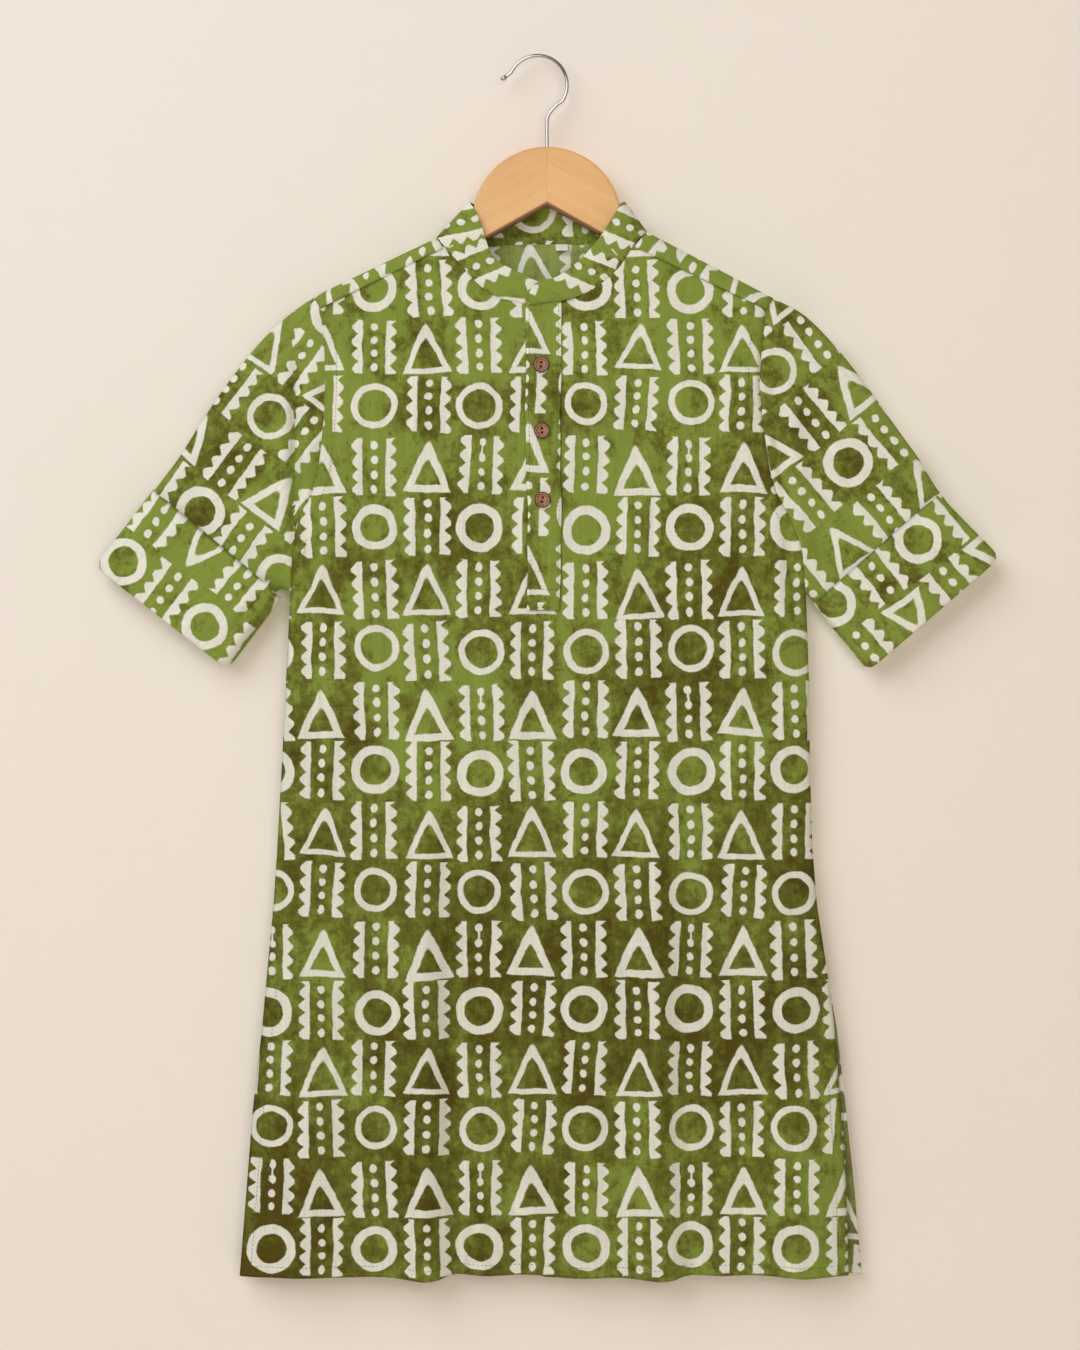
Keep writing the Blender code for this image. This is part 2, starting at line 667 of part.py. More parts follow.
front_columns = 2 * FRONT_HALF + SLIT_COLUMNS
back_columns = 2 * SHOULDER_COLUMNS + BACK_NECK_COLUMNS
front_rows = LOWER_ROWS + UPPER_ROWS
cloth("front_panel", front_columns, front_rows, front_place, CLOTH, green_cotton, front_keep)
cloth("back_panel", back_columns, front_rows + WRAP_ROWS, back_place, CLOTH, green_cotton, back_keep)
for side in ("left", "right"):
    cloth(
        f"sleeve_{side}",
        2 * HALF_ROUND,
        SLEEVE_ROWS,
        lambda step, row, side=side: sleeve_place(side, step, row),
        CLOTH,
        green_cotton,
    )
    cloth(
        f"cuff_{side}",
        2 * HALF_ROUND,
        CUFF_ROWS,
        lambda step, row, side=side: cuff_place(side, step, row),
        DOUBLE,
        green_cotton,
    )
cloth("collar", len(COLLAR) - 1, COLLAR_ROWS, collar_place, DOUBLE, green_cotton)
over_away = (CLOTH + DOUBLE) / 2 + GAP
for name, ends, away, wall in (
    ("placket_over", OVER_PLACKET, over_away, DOUBLE),
    ("placket_under", UNDER_PLACKET, -CLOTH - GAP, CLOTH),
):
    cloth(
        name,
        2,
        8,
        lambda column, row, ends=ends, away=away: strip_place(ends, away, 2, 8, column, row),
        wall,
        green_cotton,
    )
cloth("loop_label", 2, 2, label_place, LABEL_WALL, white_tape)
for number, (x, z) in enumerate(BUTTONS, 1):
    button(f"button_{number}", x, z, brown_wood)

bpy.ops.mesh.primitive_cylinder_add(
    vertices=16, radius=(WIRE_RADIUS + GAP) * MM, depth=(SHANK_DEPTH + 10) * MM
)
shank_drill = bpy.context.object
shank_drill.name = "shank_drill"
shank_drill.parent = garment
shank_drill.location = Vector((0, 0, HUMP_TOP_Z - SHANK_DEPTH / 2 + 4)) * MM
shank_drill.hide_render = True
shank_drill.display_type = "WIRE"
for side in ("left", "right"):
    arm(side, pale_wood)
hook(steel)
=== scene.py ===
"""A child's kurta in green block-printed cotton, hanging flat on a wooden hanger.

Sizes are in millimetres from the hanger's middle line and from the inside of the hook's crown, as a
maker would measure them, and every piece is put in its place in metres at the end.
"""

import math
from functools import cache, partial

import bmesh
import bpy
from mathutils import Matrix, Vector, noise


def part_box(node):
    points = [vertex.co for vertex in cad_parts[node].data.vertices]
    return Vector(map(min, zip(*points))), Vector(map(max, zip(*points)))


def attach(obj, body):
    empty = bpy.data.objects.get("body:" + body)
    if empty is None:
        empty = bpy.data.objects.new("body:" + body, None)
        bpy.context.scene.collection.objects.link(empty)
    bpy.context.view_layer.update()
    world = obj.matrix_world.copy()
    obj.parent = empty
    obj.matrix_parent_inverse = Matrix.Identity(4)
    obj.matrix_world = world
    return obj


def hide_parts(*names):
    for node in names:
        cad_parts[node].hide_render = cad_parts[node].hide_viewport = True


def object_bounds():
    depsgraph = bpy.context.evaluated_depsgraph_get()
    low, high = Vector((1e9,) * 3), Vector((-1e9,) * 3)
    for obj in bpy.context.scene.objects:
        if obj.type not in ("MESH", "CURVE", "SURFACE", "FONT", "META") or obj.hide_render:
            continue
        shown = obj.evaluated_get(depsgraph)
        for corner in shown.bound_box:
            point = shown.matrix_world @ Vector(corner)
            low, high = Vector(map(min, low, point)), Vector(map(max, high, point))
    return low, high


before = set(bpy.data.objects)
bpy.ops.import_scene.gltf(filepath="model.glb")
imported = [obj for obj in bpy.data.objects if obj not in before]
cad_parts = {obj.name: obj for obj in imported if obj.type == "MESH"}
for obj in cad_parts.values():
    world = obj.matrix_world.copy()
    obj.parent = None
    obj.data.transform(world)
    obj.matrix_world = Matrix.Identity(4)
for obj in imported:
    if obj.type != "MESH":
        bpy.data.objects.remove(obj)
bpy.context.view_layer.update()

# --- the cloth -----------------------------------------------------------------------------------
# A plain-weave handloom cotton, hand-block-printed with a resist paste in rings, triangles and
# toothed bars, then dyed a mottled olive green. The print keeps the white of the cloth, and the
# wrong side is paler.
MM = 0.001
HANGER_X = 500 * (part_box("hanger_arm_left")[1][0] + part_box("hanger_arm_right")[0][0])
CELL_WIDE, CELL_TALL = 37.8, 43.4  # one figure of the print
YARN_PITCH = 0.42
GREEN = (0.206, 0.270, 0.050, 1.0)
DEEP_GREEN = (0.130, 0.143, 0.025, 1.0)
STAIN = (0.082, 0.066, 0.011, 1.0)
UNDYED = (0.736, 0.748, 0.684, 1.0)
TINGED = (0.56, 0.545, 0.40, 1.0)
WRONG_SIDE_DYE = (0.430, 0.465, 0.235, 1.0)


class Wire:
    """An output of a shader node. Python's own operators on it add Math nodes."""

    def __init__(self, socket):
        self.socket = socket

    def maths(self, operation, *others):
        tree = self.socket.id_data
        return node(tree, "ShaderNodeMath", {"operation": operation}, enumerate((self, *others)))

    def of(self, output):
        return Wire(self.socket.node.outputs[output])

    def clamped(self):
        return self.maths("MINIMUM", 1.0).maths("MAXIMUM", 0.0)

    def __add__(self, other):
        return self.maths("ADD", other)

    __radd__ = __add__

    def __sub__(self, other):
        return self.maths("SUBTRACT", other)

    def __rsub__(self, other):
        return self.maths("MULTIPLY", -1.0).maths("ADD", other)

    def __mul__(self, other):
        return self.maths("MULTIPLY", other)

    __rmul__ = __mul__

    def __truediv__(self, other):
        return self.maths("DIVIDE", other)

    def __abs__(self):
        return self.maths("ABSOLUTE")

    def __mod__(self, other):
        return self.maths("FLOORED_MODULO", other)


def node(tree, kind, settings, inputs, output=0):
    """Adds a shader node. Settings come first, then the values or links of its sockets."""
    made = tree.nodes.new(kind)
    for name, value in settings.items():
        setattr(made, name, value)
    for name, value in dict(inputs).items():
        if isinstance(value, Wire):
            tree.links.new(value.socket, made.inputs[name])
        else:
            made.inputs[name].default_value = value
    return Wire(made.outputs[output])


def blended(tree, share, first, second, how="MIX"):
    """Two colours mixed by a share."""
    settings = {"data_type": "RGBA", "blend_type": how}
    return node(tree, "ShaderNodeMix", settings, {0: share, 6: first, 7: second}, 2)


def noisy(tree, vector, scale, detail=2.0, roughness=0.5, output=0):
    values = {"Vector": vector, "Scale": scale, "Detail": detail, "Roughness": roughness}
    return node(tree, "ShaderNodeTexNoise", {}, values, output)


def stretched(tree, vector, *scale, **turn):
    return node(tree, "ShaderNodeMapping", {}, {"Vector": vector, "Scale": scale, **turn})


def bumps(tree, height, strength, deep):
    """The bump of a height, deep in millimetres."""
    return node(tree, "ShaderNodeBump", {}, {"Height": height, "Strength": strength, "Distance": deep * MM})


def new_material(name):
    made = bpy.data.materials.new(name)
    made.use_nodes = True
    return made, made.node_tree, made.node_tree.nodes["Principled BSDF"].inputs


def finish_with(tree, shader, **inputs):
    """Links the shader's sockets to wires, and sets the others to plain values."""
    for name, value in inputs.items():
        socket = shader[name.replace("_", " ")]
        if isinstance(value, Wire):
            tree.links.new(value.socket, socket)
        else:
            socket.default_value = value


def printed_cotton(name, wrong_side):
    made, tree, shader = new_material(name)
    at = node(tree, "ShaderNodeUVMap", {"uv_map": "cloth"}, {})

    def parts(vector):
        whole = node(tree, "ShaderNodeSeparateXYZ", {}, {0: vector})
        return whole, whole.of(1), whole.of(2)

    # Hand-cut blocks: every edge wanders a little.
    u, v, _ = parts(at)
    wide, tall, _ = parts(noisy(tree, at, 48.0, 1.0, output=1))
    fine_wide, fine_tall, _ = parts(noisy(tree, at, 230.0, output=1))
    wander, tremble = 3.4, 1.5
    u = u * 1000 + (wide - 0.5) * wander + (fine_wide - 0.5) * tremble
    v = v * 1000 + (tall - 0.5) * wander + (fine_tall - 0.5) * tremble
    column = (u / CELL_WIDE).maths("FLOOR")
    row = (v / CELL_TALL).maths("FLOOR")
    cell = node(tree, "ShaderNodeCombineXYZ", {}, {0: column, 1: row})
    chance = node(tree, "ShaderNodeTexWhiteNoise", {"noise_dimensions": "2D"}, {0: cell}, 1)
    push, lift, swell = parts(chance)
    x = u - (column + 0.5) * CELL_WIDE + (push - 0.5) * 2.6
    y = v - (row + 0.5) * CELL_TALL + (lift - 0.5) * 3.6
    grow = 0.96 + swell * 0.08
    lean = (lift + swell - 1) * 0.09
    x, y = (x + y * lean) / grow, (y - x * lean) / grow
    side = abs(x)

    ring_column, ring_row = 1 - column % 2, 1 - row % 2
    of_four = row % 4
    heavy_ring = 1 - abs(of_four - 2).maths("MINIMUM", 1.0)  # every other block has a broader stroke
    heavy_triangle = 1 - abs(of_four - 3).maths("MINIMUM", 1.0)

    stroke = 4.6 + heavy_ring * 1.7
    radius = 16.1 + heavy_ring * 0.9
    from_middle = (x * x + y * y).maths("SQRT")
    ring = abs(from_middle - radius + stroke / 2) - stroke / 2

    stroke = 3.9 + heavy_triangle * 1.2
    blunt = (x * x + 5.0).maths("SQRT")
    slope = blunt * 0.918 + y * 0.395 - 8.4
    foot = -19.2 - y
    triangle = abs(slope.maths("MAXIMUM", foot) + stroke / 2) - stroke / 2

    # Two toothed bars, with a row of dots between them.
    tooth_pitch, tooth_reach, bar_width, bar_from_middle = 10.5, 4.2, 3.3, 8.4
    dot_pitch, dot_radius, half_tall = 10.4, 3.0, 20.4
    tooth = y / tooth_pitch + x.maths("SIGN") * 0.13 + push * 0.3
    saw = 1 - abs(tooth.maths("FRACT") * 2 - 1)
    width = bar_width + (saw * 1.35).maths("MINIMUM", 1.05) * tooth_reach
    out = side - bar_from_middle
    bar = (out - width) * 0.75
    bar = bar.maths("MAXIMUM", 0 - out)
    bar = bar.maths("MAXIMUM", abs(y - heavy_ring * 1.8) - half_tall - heavy_ring * 1.8)
    dot_y = ((y / dot_pitch).maths("FRACT") - 0.5) * dot_pitch
    dot = ((x * x) * 1.35 + dot_y * dot_y).maths("SQRT") - dot_radius - (fine_wide - 0.5) * 1.6
    dot = dot.maths("MAXIMUM", abs(y) - 2 * dot_pitch)
    joined = heavy_triangle * (1 - abs(column % 4 - 2).maths("MINIMUM", 1.0))  # here two dots run together
    neck = side.maths("MAXIMUM", abs(y - dot_pitch) - 3.4) - 0.7 + (1 - joined) * 9
    bars = bar.maths("MINIMUM", dot).maths("MINIMUM", neck)

    is_ring = ring_column * ring_row
    is_triangle = (1 - ring_column) * (1 - ring_row)
    figure = ring * is_ring + triangle * is_triangle + bars * (1 - is_ring - is_triangle)
    resist = (0.5 - figure / 0.75).clamped()

    # The paste cracks here and there and lets a hair of dye in.
    bend = noisy(tree, at, 30.0, output=1)
    bent = node(tree, "ShaderNodeVectorMath", {"operation": "ADD"}, {0: at, 1: bend})
    settings = {"feature": "DISTANCE_TO_EDGE"}
    crackle = node(tree, "ShaderNodeTexVoronoi", settings, {"Vector": bent, "Scale": 17.0})
    hair = (1 - crackle * 90).clamped() * ((noisy(tree, at, 21.0, 1.0) - 0.5) * 9).clamped()
    resist = resist * (1 - hair * 0.55)

    # The dye pools in clouds that ran down the cloth, and the lower end of the length took more.
    run_down = stretched(tree, at, 1.0, 0.62, 1.0)
    cloud = noisy(tree, run_down, 9.0, 3.0, 0.6) * 0.42 + noisy(tree, run_down, 40.0, 8.0, 0.78) * 0.58
    fleck = noisy(tree, at, 120.0, 5.0, 0.75)
    low = ((1.68 - v * MM) * 0.14).maths("MAXIMUM", -0.04).maths("MINIMUM", 0.045)
    deep = ((cloud - 0.460 + low * 1.2) * 14.0 + (fleck - 0.5) * 4.2).clamped()
    pool = ((cloud - 0.528 + low) * 10.0 + (fleck - 0.5) * 4.6).clamped()
    dye = blended(tree, deep, GREEN, DEEP_GREEN)
    dye = blended(tree, pool, dye, STAIN)

    # Uneven yarn shows as faint lines along and across the cloth, and painted shade darkens it, print too,
    # towards its lower end.
    warp = noisy(tree, stretched(tree, at, 900.0, 26.0, 1.0), 1.0)
    weft = noisy(tree, stretched(tree, at, 24.0, 900.0, 1.0), 1.0)
    wash = noisy(tree, stretched(tree, at, 120.0, 7.0, 1.0), 1.0, 3.0)
    streaks_and_painted_shade = 0.91 - low * 0.9 + (warp - 0.5) * 0.30 + (weft - 0.5) * 0.18 + (wash - 0.5) * 0.34 + fleck * 0.2
    white = blended(tree, (fleck * 0.36).clamped(), UNDYED, TINGED)
    if wrong_side:
        dye = blended(tree, 0.2, dye, WRONG_SIDE_DYE)
    colour = blended(tree, resist, dye, white)
    shade = node(tree, "ShaderNodeCombineColor", {}, {0: streaks_and_painted_shade, 1: streaks_and_painted_shade, 2: streaks_and_painted_shade})
    colour = blended(tree, 1.0, colour, shade, "MULTIPLY")

    threads = (u * (math.pi / YARN_PITCH)).maths("SINE") * (v * (math.pi / YARN_PITCH)).maths("SINE")
    height = threads * 0.05 + warp * 0.5 + weft * 0.35 + fleck * 0.25
    bump = bumps(tree, height, 0.35, 0.4)
    rough = 0.80 + fleck * 0.14
    finish_with(tree, shader, Base_Color=colour, Roughness=rough, Normal=bump, Specular_IOR_Level=0.0)
    return made


right_side = printed_cotton("printed_cotton", False)
wrong_side = printed_cotton("printed_cotton_wrong_side", True)


def mix(a, b, share):
    return a + (b - a) * share


def ease(share):
    """0 to 1 with a soft start and end."""
    share = min(max(share, 0.0), 1.0)
    return share * share * (3 - 2 * share)


def look_up(rows, column, z):
    """A column of a table of rows that rise in z, read between its rows."""
    if z <= rows[0][0]:
        return rows[0][column]
    for low, high in zip(rows, rows[1:]):
        if z <= high[0]:
            return mix(low[column], high[column], (z - low[0]) / (high[0] - low[0]))
    return rows[-1][column]


def on_line(points, share):
    """The point at a share of the way along a smooth line through points."""
    points = [Vector(p) for p in points]
    steps = [(b - a).length for a, b in zip(points, points[1:])]
    left = min(max(share, 0.0), 1.0) * sum(steps)
    for k, step in enumerate(steps):
        if left <= step or k == len(steps) - 1:
            break
        left -= step
    t = min(left / step, 1.0)
    a, b = points[k], points[k + 1]
    before = points[k - 1] if k else a * 2 - b
    after = points[k + 2] if k + 2 < len(points) else b * 2 - a
    return 0.5 * (
        2 * a
        + (b - before) * t
        + (2 * before - 5 * a + 4 * b - after) * t**2
        + (3 * a - before - 3 * b + after) * t**3
    )


def patch(left, right, foot, top, u, v):
    """A point of the surface that spans four edges. Each edge is a function of 0 to 1."""
    across = mix(left(v), right(v), u)
    along = mix(foot(u), top(u), v)
    corners = mix(mix(foot(0), foot(1), u), mix(top(0), top(1), u), v)
    return across + along - corners


def rounded(distance, radius):
    """The share of its full depth that cloth has at a distance from a fold of that radius."""
    return math.sqrt(max(0.0, 1 - (1 - min(max(distance, 0.0) / radius, 1.0)) ** 2))


def creases_at(creases, x, z):
    """The relief of creases, each a line with a half-width and a depth."""
    relief = 0.0
    for x0, z0, x1, z1, half_width, depth in creases:
        run = Vector((x1 - x0, z1 - z0))
        from_start = Vector((x - x0, z - z0))
        share = from_start.dot(run) / run.length_squared
        if -0.2 < share < 1.2:
            away = (from_start - run * share).length / half_width
            if away < 3:
                relief += depth * math.exp(-away * away) * ease(1.6 * min(share + 0.2, 1.2 - share))
    return relief


def ripple(x, z, seed):
    """The small unevenness of washed cotton."""
    broad = noise.noise(Vector((x / 60, z / 110, seed)))
    small = noise.noise(Vector((x / 19, z / 30, seed + 7)))
    return 1.1 * broad + 0.32 * small


def put(name, data, *materials):
    """Puts a mesh, a curve, a camera or a light in the scene."""
    made = bpy.data.objects.new(name, data)
    bpy.context.scene.collection.objects.link(made)
    for material in materials:
        data.materials.append(material)
    return made


def piece(bm, name, *materials):
    """Makes a piece of a finished bmesh."""
    mesh = bpy.data.meshes.new(name)
    bm.to_mesh(mesh)
    bm.free()
    mesh.shade_smooth()
    made = put(name, mesh, *materials)
    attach(made, "root")
    return made


def cloth(name, columns, rows, place, flat, wall, keep=None, edge=0.0, doubled=False, turned=False):
    """A wall of cloth. place(column, row) is the middle of the wall, flat(column, row, face) is the
    same point on the flat cloth, for the face of that middle column and row, and keep(column, row)
    says which faces of the grid stay. A turned cloth has its right side on the grid's back."""
    bm = bmesh.new()
    bmesh.ops.create_grid(bm, x_segments=columns, y_segments=rows, size=0.5)

    def index(co):
        return round((co.x + 0.5) * columns, 1), round((co.y + 0.5) * rows, 1)

    if keep:
        cut = [f for f in bm.faces if not keep(*map(int, index(f.calc_center_median())))]
        bmesh.ops.delete(bm, geom=cut, context="FACES")
    layer = bm.loops.layers.uv.new("cloth")
    for face in bm.faces:
        of_face = index(face.calc_center_median())
        for loop in face.loops:
            column, row = index(loop.vert.co)
            loop[layer].uv = Vector(flat(column, row, of_face)) * MM
    for vert in bm.verts:
        x, y, z = place(*index(vert.co))
        vert.co = Vector((x + HANGER_X, y, z)) * MM
    bmesh.ops.remove_doubles(bm, verts=bm.verts, dist=0.02 * MM)
    if turned:
        bmesh.ops.reverse_faces(bm, faces=bm.faces)
    made = piece(bm, name, right_side, wrong_side)
    solid = made.modifiers.new("wall", "SOLIDIFY")
    solid.thickness = wall * MM
    solid.offset = 0.0
    solid.use_even_offset = True
    solid.use_quality_normals = True
    solid.material_offset = 0 if doubled else 1
    if edge:
        soft = made.modifiers.new("soft edge", "BEVEL")
        soft.width = edge * MM
        soft.segments = 2
        soft.limit_method = "ANGLE"
        soft.angle_limit = math.radians(60)
    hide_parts(name.removesuffix("_cloth"))
    return made


# --- the front -----------------------------------------------------------------------------------
# The front is one piece with a slit for the placket, flared from the underarm to the hem, with
# open slits at the sides. It hangs in two long soft folds, and ripples a little everywhere.
WALL = 0.8
BODY_DEPTH = 8.0
HEM_DEPTH = 9.2
SIDE_ROUND = 46.0
CALM_SIDE, CALM_SLIT = 14.0, 30.0  # how far in from a side, and out from the slit, relief is held down
UNDERARM_ROUND = 30.0
HEM_Z = -878.5
SLIT_TOP_Z = -668.0
SLIT_DEPTH = 2.6
UNDERARM_Z = -384.5
PLACKET_FOOT_Z = -397.0
SIDE_SEAMS = (
    # z, front_left, front_right, back_left, back_right
    (-879.5, -221.6, 217.4, -222.1, 227.6),
    (-816, -216.6, 215.6, -217.1, 222),
    (-758, -212.1, 211.6, -212.6, 215.8),
    (-701, -205.6, 207.6, -205.8, 209.2),
    (SLIT_TOP_Z, -202.6, 203.4, -202.6, 203.4),
    (-612, -197.4, 194.8, -197.4, 194.8),
    (-571, -194.6, 191.4, -194.6, 191.4),
    (-512, -191.4, 189.6, -191.4, 189.6),
    (-457, -188.6, 189.2, -188.6, 189.2),
    (UNDERARM_Z, -185.1, 186.6, -185.1, 186.6),
)
ARMHOLES = (
    # z, left, right
    (UNDERARM_Z, -185.1, 186.6),
    (-370, -184.4, 185.4),
    (-352, -183, 183.6),
    (-331, -178.4, 174.9),
    (-316, -170.4, 166),
    (-298, -164.6, 160.2),
    (-265, -161.2, 155.4),
    (-236, -159.8, 152.8),
    (-208, -160.4, 154.6),
    (-180, -163.4, 158.2),
)
SHOULDERS = {
    # side: (fold at armhole, fold at neck, seam at armhole, seam at neck), each x, z
    "left": ((-169.0, -172.6), (-80.0, -130.0), (-163.4, -180.0), (-75.0, -136.8)),
    "right": ((163.4, -173.4), (72.4, -125.8), (158.2, -181.0), (63.0, -135.8)),
}
NECKLINES = {
    "left": ((-75.0, -136.8), (-62.0, -150.4), (-49.0, -164.8), (-35.3, -173.8), (-12.0, -178.6)),
    "right": ((63.0, -135.8), (52.6, -151.8), (37.4, -165.8), (23.8, -172.8), (11.0, -176.6)),
}
SLIT_EDGES = {"left": -10.0, "right": 8.0}
FRONT_FOLDS = (
    # x_at_hem, x_at_top, z_top, half_width, depth
    (-180, -164, -560, 18, 2.6),
    (-86, -92, -440, 17, 7.4),
    (-62, -66, -440, 13, -4.2),
    (-69, -72, -470, 6, -3),
    (-20, -28, -520, 24, -3),
    (30, 22, -560, 18, 2.6),
    (84, 70, -420, 19, 7),
    (108, 94, -430, 13, -3.6),
    (100, 87, -460, 6.5, -2.8),
    (142, 132, -540, 20, -2.6),
    (186, 170, -600, 15, 3),
)
FRONT_CREASES = (
    # x0, z0, x1, z1, half_width, depth
    (-158, -196, -150, -300, 6, -1.5),
    (-143, -186, -146, -262, 7, 1.5),
    (-92, -150, -88, -300, 8, 1.2),
    (-104, -158, -100, -260, 6, -0.9),
    (126, -168, 143, -226, 7, -2),
    (117, -164, 131, -236, 6, 1.4),
    (148, -206, 146, -300, 6, 1.3),
    (72, -150, 92, -236, 9, 1),
    (-176, -318, -167, -386, 3.2, -4.4),
    (-168, -330, -158, -400, 4, 3.2),
    (-176, -352, -182, -398, 3, 3.4),
    (-174, -372, -128, -330, 8, 1.9),
    (-178, -392, -120, -386, 9, -1.5),
    (-176, -404, -104, -452, 10, 1.3),
    (172, -296, 178, -388, 3.4, -3.4),
    (166, -310, 169, -410, 5, 2.4),
    (176, -376, 120, -330, 8, 1.8),
    (178, -394, 118, -402, 9, -1.5),
    (178, -412, 124, -466, 11, 1.3),
    (-24, -404, -64, -560, 9, 1.2),
    (22, -404, 48, -520, 9, 1.1),
    (-4, -404, -2, -500, 7, -0.9),
    (156, -500, 160, -760, 10, 1.5),
    (-186, -640, -150, -700, 9, 1.1),
    (-64, -470, -78, -640, 7, -1.4),
    (56, -470, 60, -700, 8, -1.3),
    (-130, -500, -136, -700, 12, 1.2),
)
BACK_FOLDS = (
    (-150, -130, -520, 24, 1.8),
    (-62, -50, -430, 22, 2.4),
    (22, 12, -560, 26, -3),
    (96, 84, -460, 20, 2.2),
    (170, 150, -600, 18, 1.2),
)
BACK_CREASES = (
    (-150, -200, -136, -300, 8, 1.6),
    (-124, -190, -128, -280, 7, -1.2),
    (146, -200, 132, -312, 8, 1.7),
    (-174, -380, -118, -340, 8, 1.9),
    (-176, -398, -112, -420, 10, -1.4),
    (176, -378, 116, -346, 8, 1.7),
    (176, -400, 110, -440, 9, -1.4),
    (-30, -150, -36, -300, 12, 1.2),
    (40, -150, 34, -330, 11, 1.1),
    (-90, -480, -104, -660, 9, -1.3),
    (44, -470, 52, -680, 9, -1.2),
    (130, -520, 138, -740, 12, 1.3),
)
ROWS_OF_RINGS = (
    # height, and the row of the print, counted up from the row beside the top button
    (-900, -15), (-857.1, -14), (-771.4, -12), (-686.4, -10), (-600.8, -8), (-514.8, -6),
    (-427.2, -4), (-339.6, -2), (-250.1, 0), (-167, 2), (-84, 4),
)
HEM_STITCHING = 7.6  # above the hem and in from the slits
PRINT_ACROSS, PRINT_UP = 39.5 * CELL_WIDE + 10.4, 40.5  # whole figures more, so that none counts below 0


def armhole_x(side, z):
    column = 1 if side == "left" else 2
    return look_up(SIDE_SEAMS if z <= UNDERARM_Z else ARMHOLES, column, z)


def edge_depth(z):
    """The cloth's depth at the body's side: none at the seam, full up the armhole."""
    if z > UNDERARM_Z:
        return max(WALL / 2, BODY_DEPTH * rounded(z - UNDERARM_Z, UNDERARM_ROUND))
    return WALL / 2 + SLIT_DEPTH * ease((SLIT_TOP_Z - z) / (SLIT_TOP_Z - HEM_Z))


def fold_relief(folds, x, z):
    relief = 0.0
    for x_hem, x_top, z_top, half_width, depth in folds:
        drop = (z_top - z) / (z_top - HEM_Z)
        if drop > 0:
            middle = mix(x_top, x_hem, drop)
            relief += depth * ease(1.5 * drop) * math.exp(-(((x - middle) / half_width) ** 2))
    return relief


def side_edges(face, z):
    first = 1 if face == "front" else 3
    if z > UNDERARM_Z:
        return armhole_x("left", z), armhole_x("right", z)
    return look_up(SIDE_SEAMS, first, z), look_up(SIDE_SEAMS, first + 1, z)


def body_depth(face, x, z):
    """How far the front or back lies from the hanger's plane."""
    low, high = side_edges(face, z)
    inside = max(min(x - low, high - x), 0.0)
    full = mix(BODY_DEPTH, HEM_DEPTH, ease((UNDERARM_Z - z) / (UNDERARM_Z - HEM_Z)))
    side = edge_depth(z)
    share = rounded(inside, SIDE_ROUND)
    if face == "front":
        relief = fold_relief(FRONT_FOLDS, x, z) + creases_at(FRONT_CREASES, x, z)
        calm = min(abs(x) / CALM_SLIT, 1.0) if z > PLACKET_FOOT_Z - 20 else 1.0
    else:
        relief = fold_relief(BACK_FOLDS, x, z) + creases_at(BACK_CREASES, x, z)
        calm = 1.0
    relief += ripple(x, z, 3.0 if face == "front" else 11.0) * calm
    relief *= mix(share, 1.0, 0.3) * ease(inside / CALM_SIDE)
    above_hem = z - HEM_Z
    pucker = 0.22 * math.sin(x * 0.83 + 2 * math.sin(x * 0.11)) * math.exp(-((above_hem - 7) ** 2) / 60)
    if z > UNDERARM_Z + 6:  # the armhole's seam puckers as the hem's does
        pucker += 0.30 * math.sin(z * 0.71 + math.sin(z * 0.13)) * math.exp(-inside / 5)
        side -= 0.5 * math.exp(-((inside / 1.3) ** 2))  # the seam turns under
    return mix(side, full, share) + relief + pucker


def hem_z(face, x):
    """The hem hangs lowest where the cloth comes forward."""
    relief = fold_relief(FRONT_FOLDS if face == "front" else BACK_FOLDS, x, HEM_Z)
    return HEM_Z - 0.34 * relief - 0.25 * math.sin(x / 9.0)


def on_print(x, z):
    """Where a point of the body lies on the flat printed cloth."""
    return x + PRINT_ACROSS, (PRINT_UP + look_up(ROWS_OF_RINGS, 1, z)) * CELL_TALL


ROUND_SHARE = 0.3  # of the armhole's rows, on the round of the underarm


def armhole(side, share):
    """A point of the armhole seam, from 0 at the underarm to 1 at the shoulder seam."""
    if share <= ROUND_SHARE:
        z = UNDERARM_Z + UNDERARM_ROUND * (1 - math.cos(math.pi / 2 * share / ROUND_SHARE))
    else:
        share = (share - ROUND_SHARE) / (1 - ROUND_SHARE)
        z = mix(UNDERARM_Z + UNDERARM_ROUND, SHOULDERS[side][2][1], share)
    return Vector((armhole_x(side, z), z))


SHOULDER_COLUMNS = 18
NECK_COLUMNS = 22
FRONT_HALF = SHOULDER_COLUMNS + NECK_COLUMNS
SLIT_COLUMNS = 4
LOWER_ROWS = 104
UPPER_ROWS = 60
BODY_ROWS = LOWER_ROWS + UPPER_ROWS
COLUMN_SPREAD, ROW_SPREAD = 1.2, 1.15  # over 1, the grid is closer at the side and at the hem


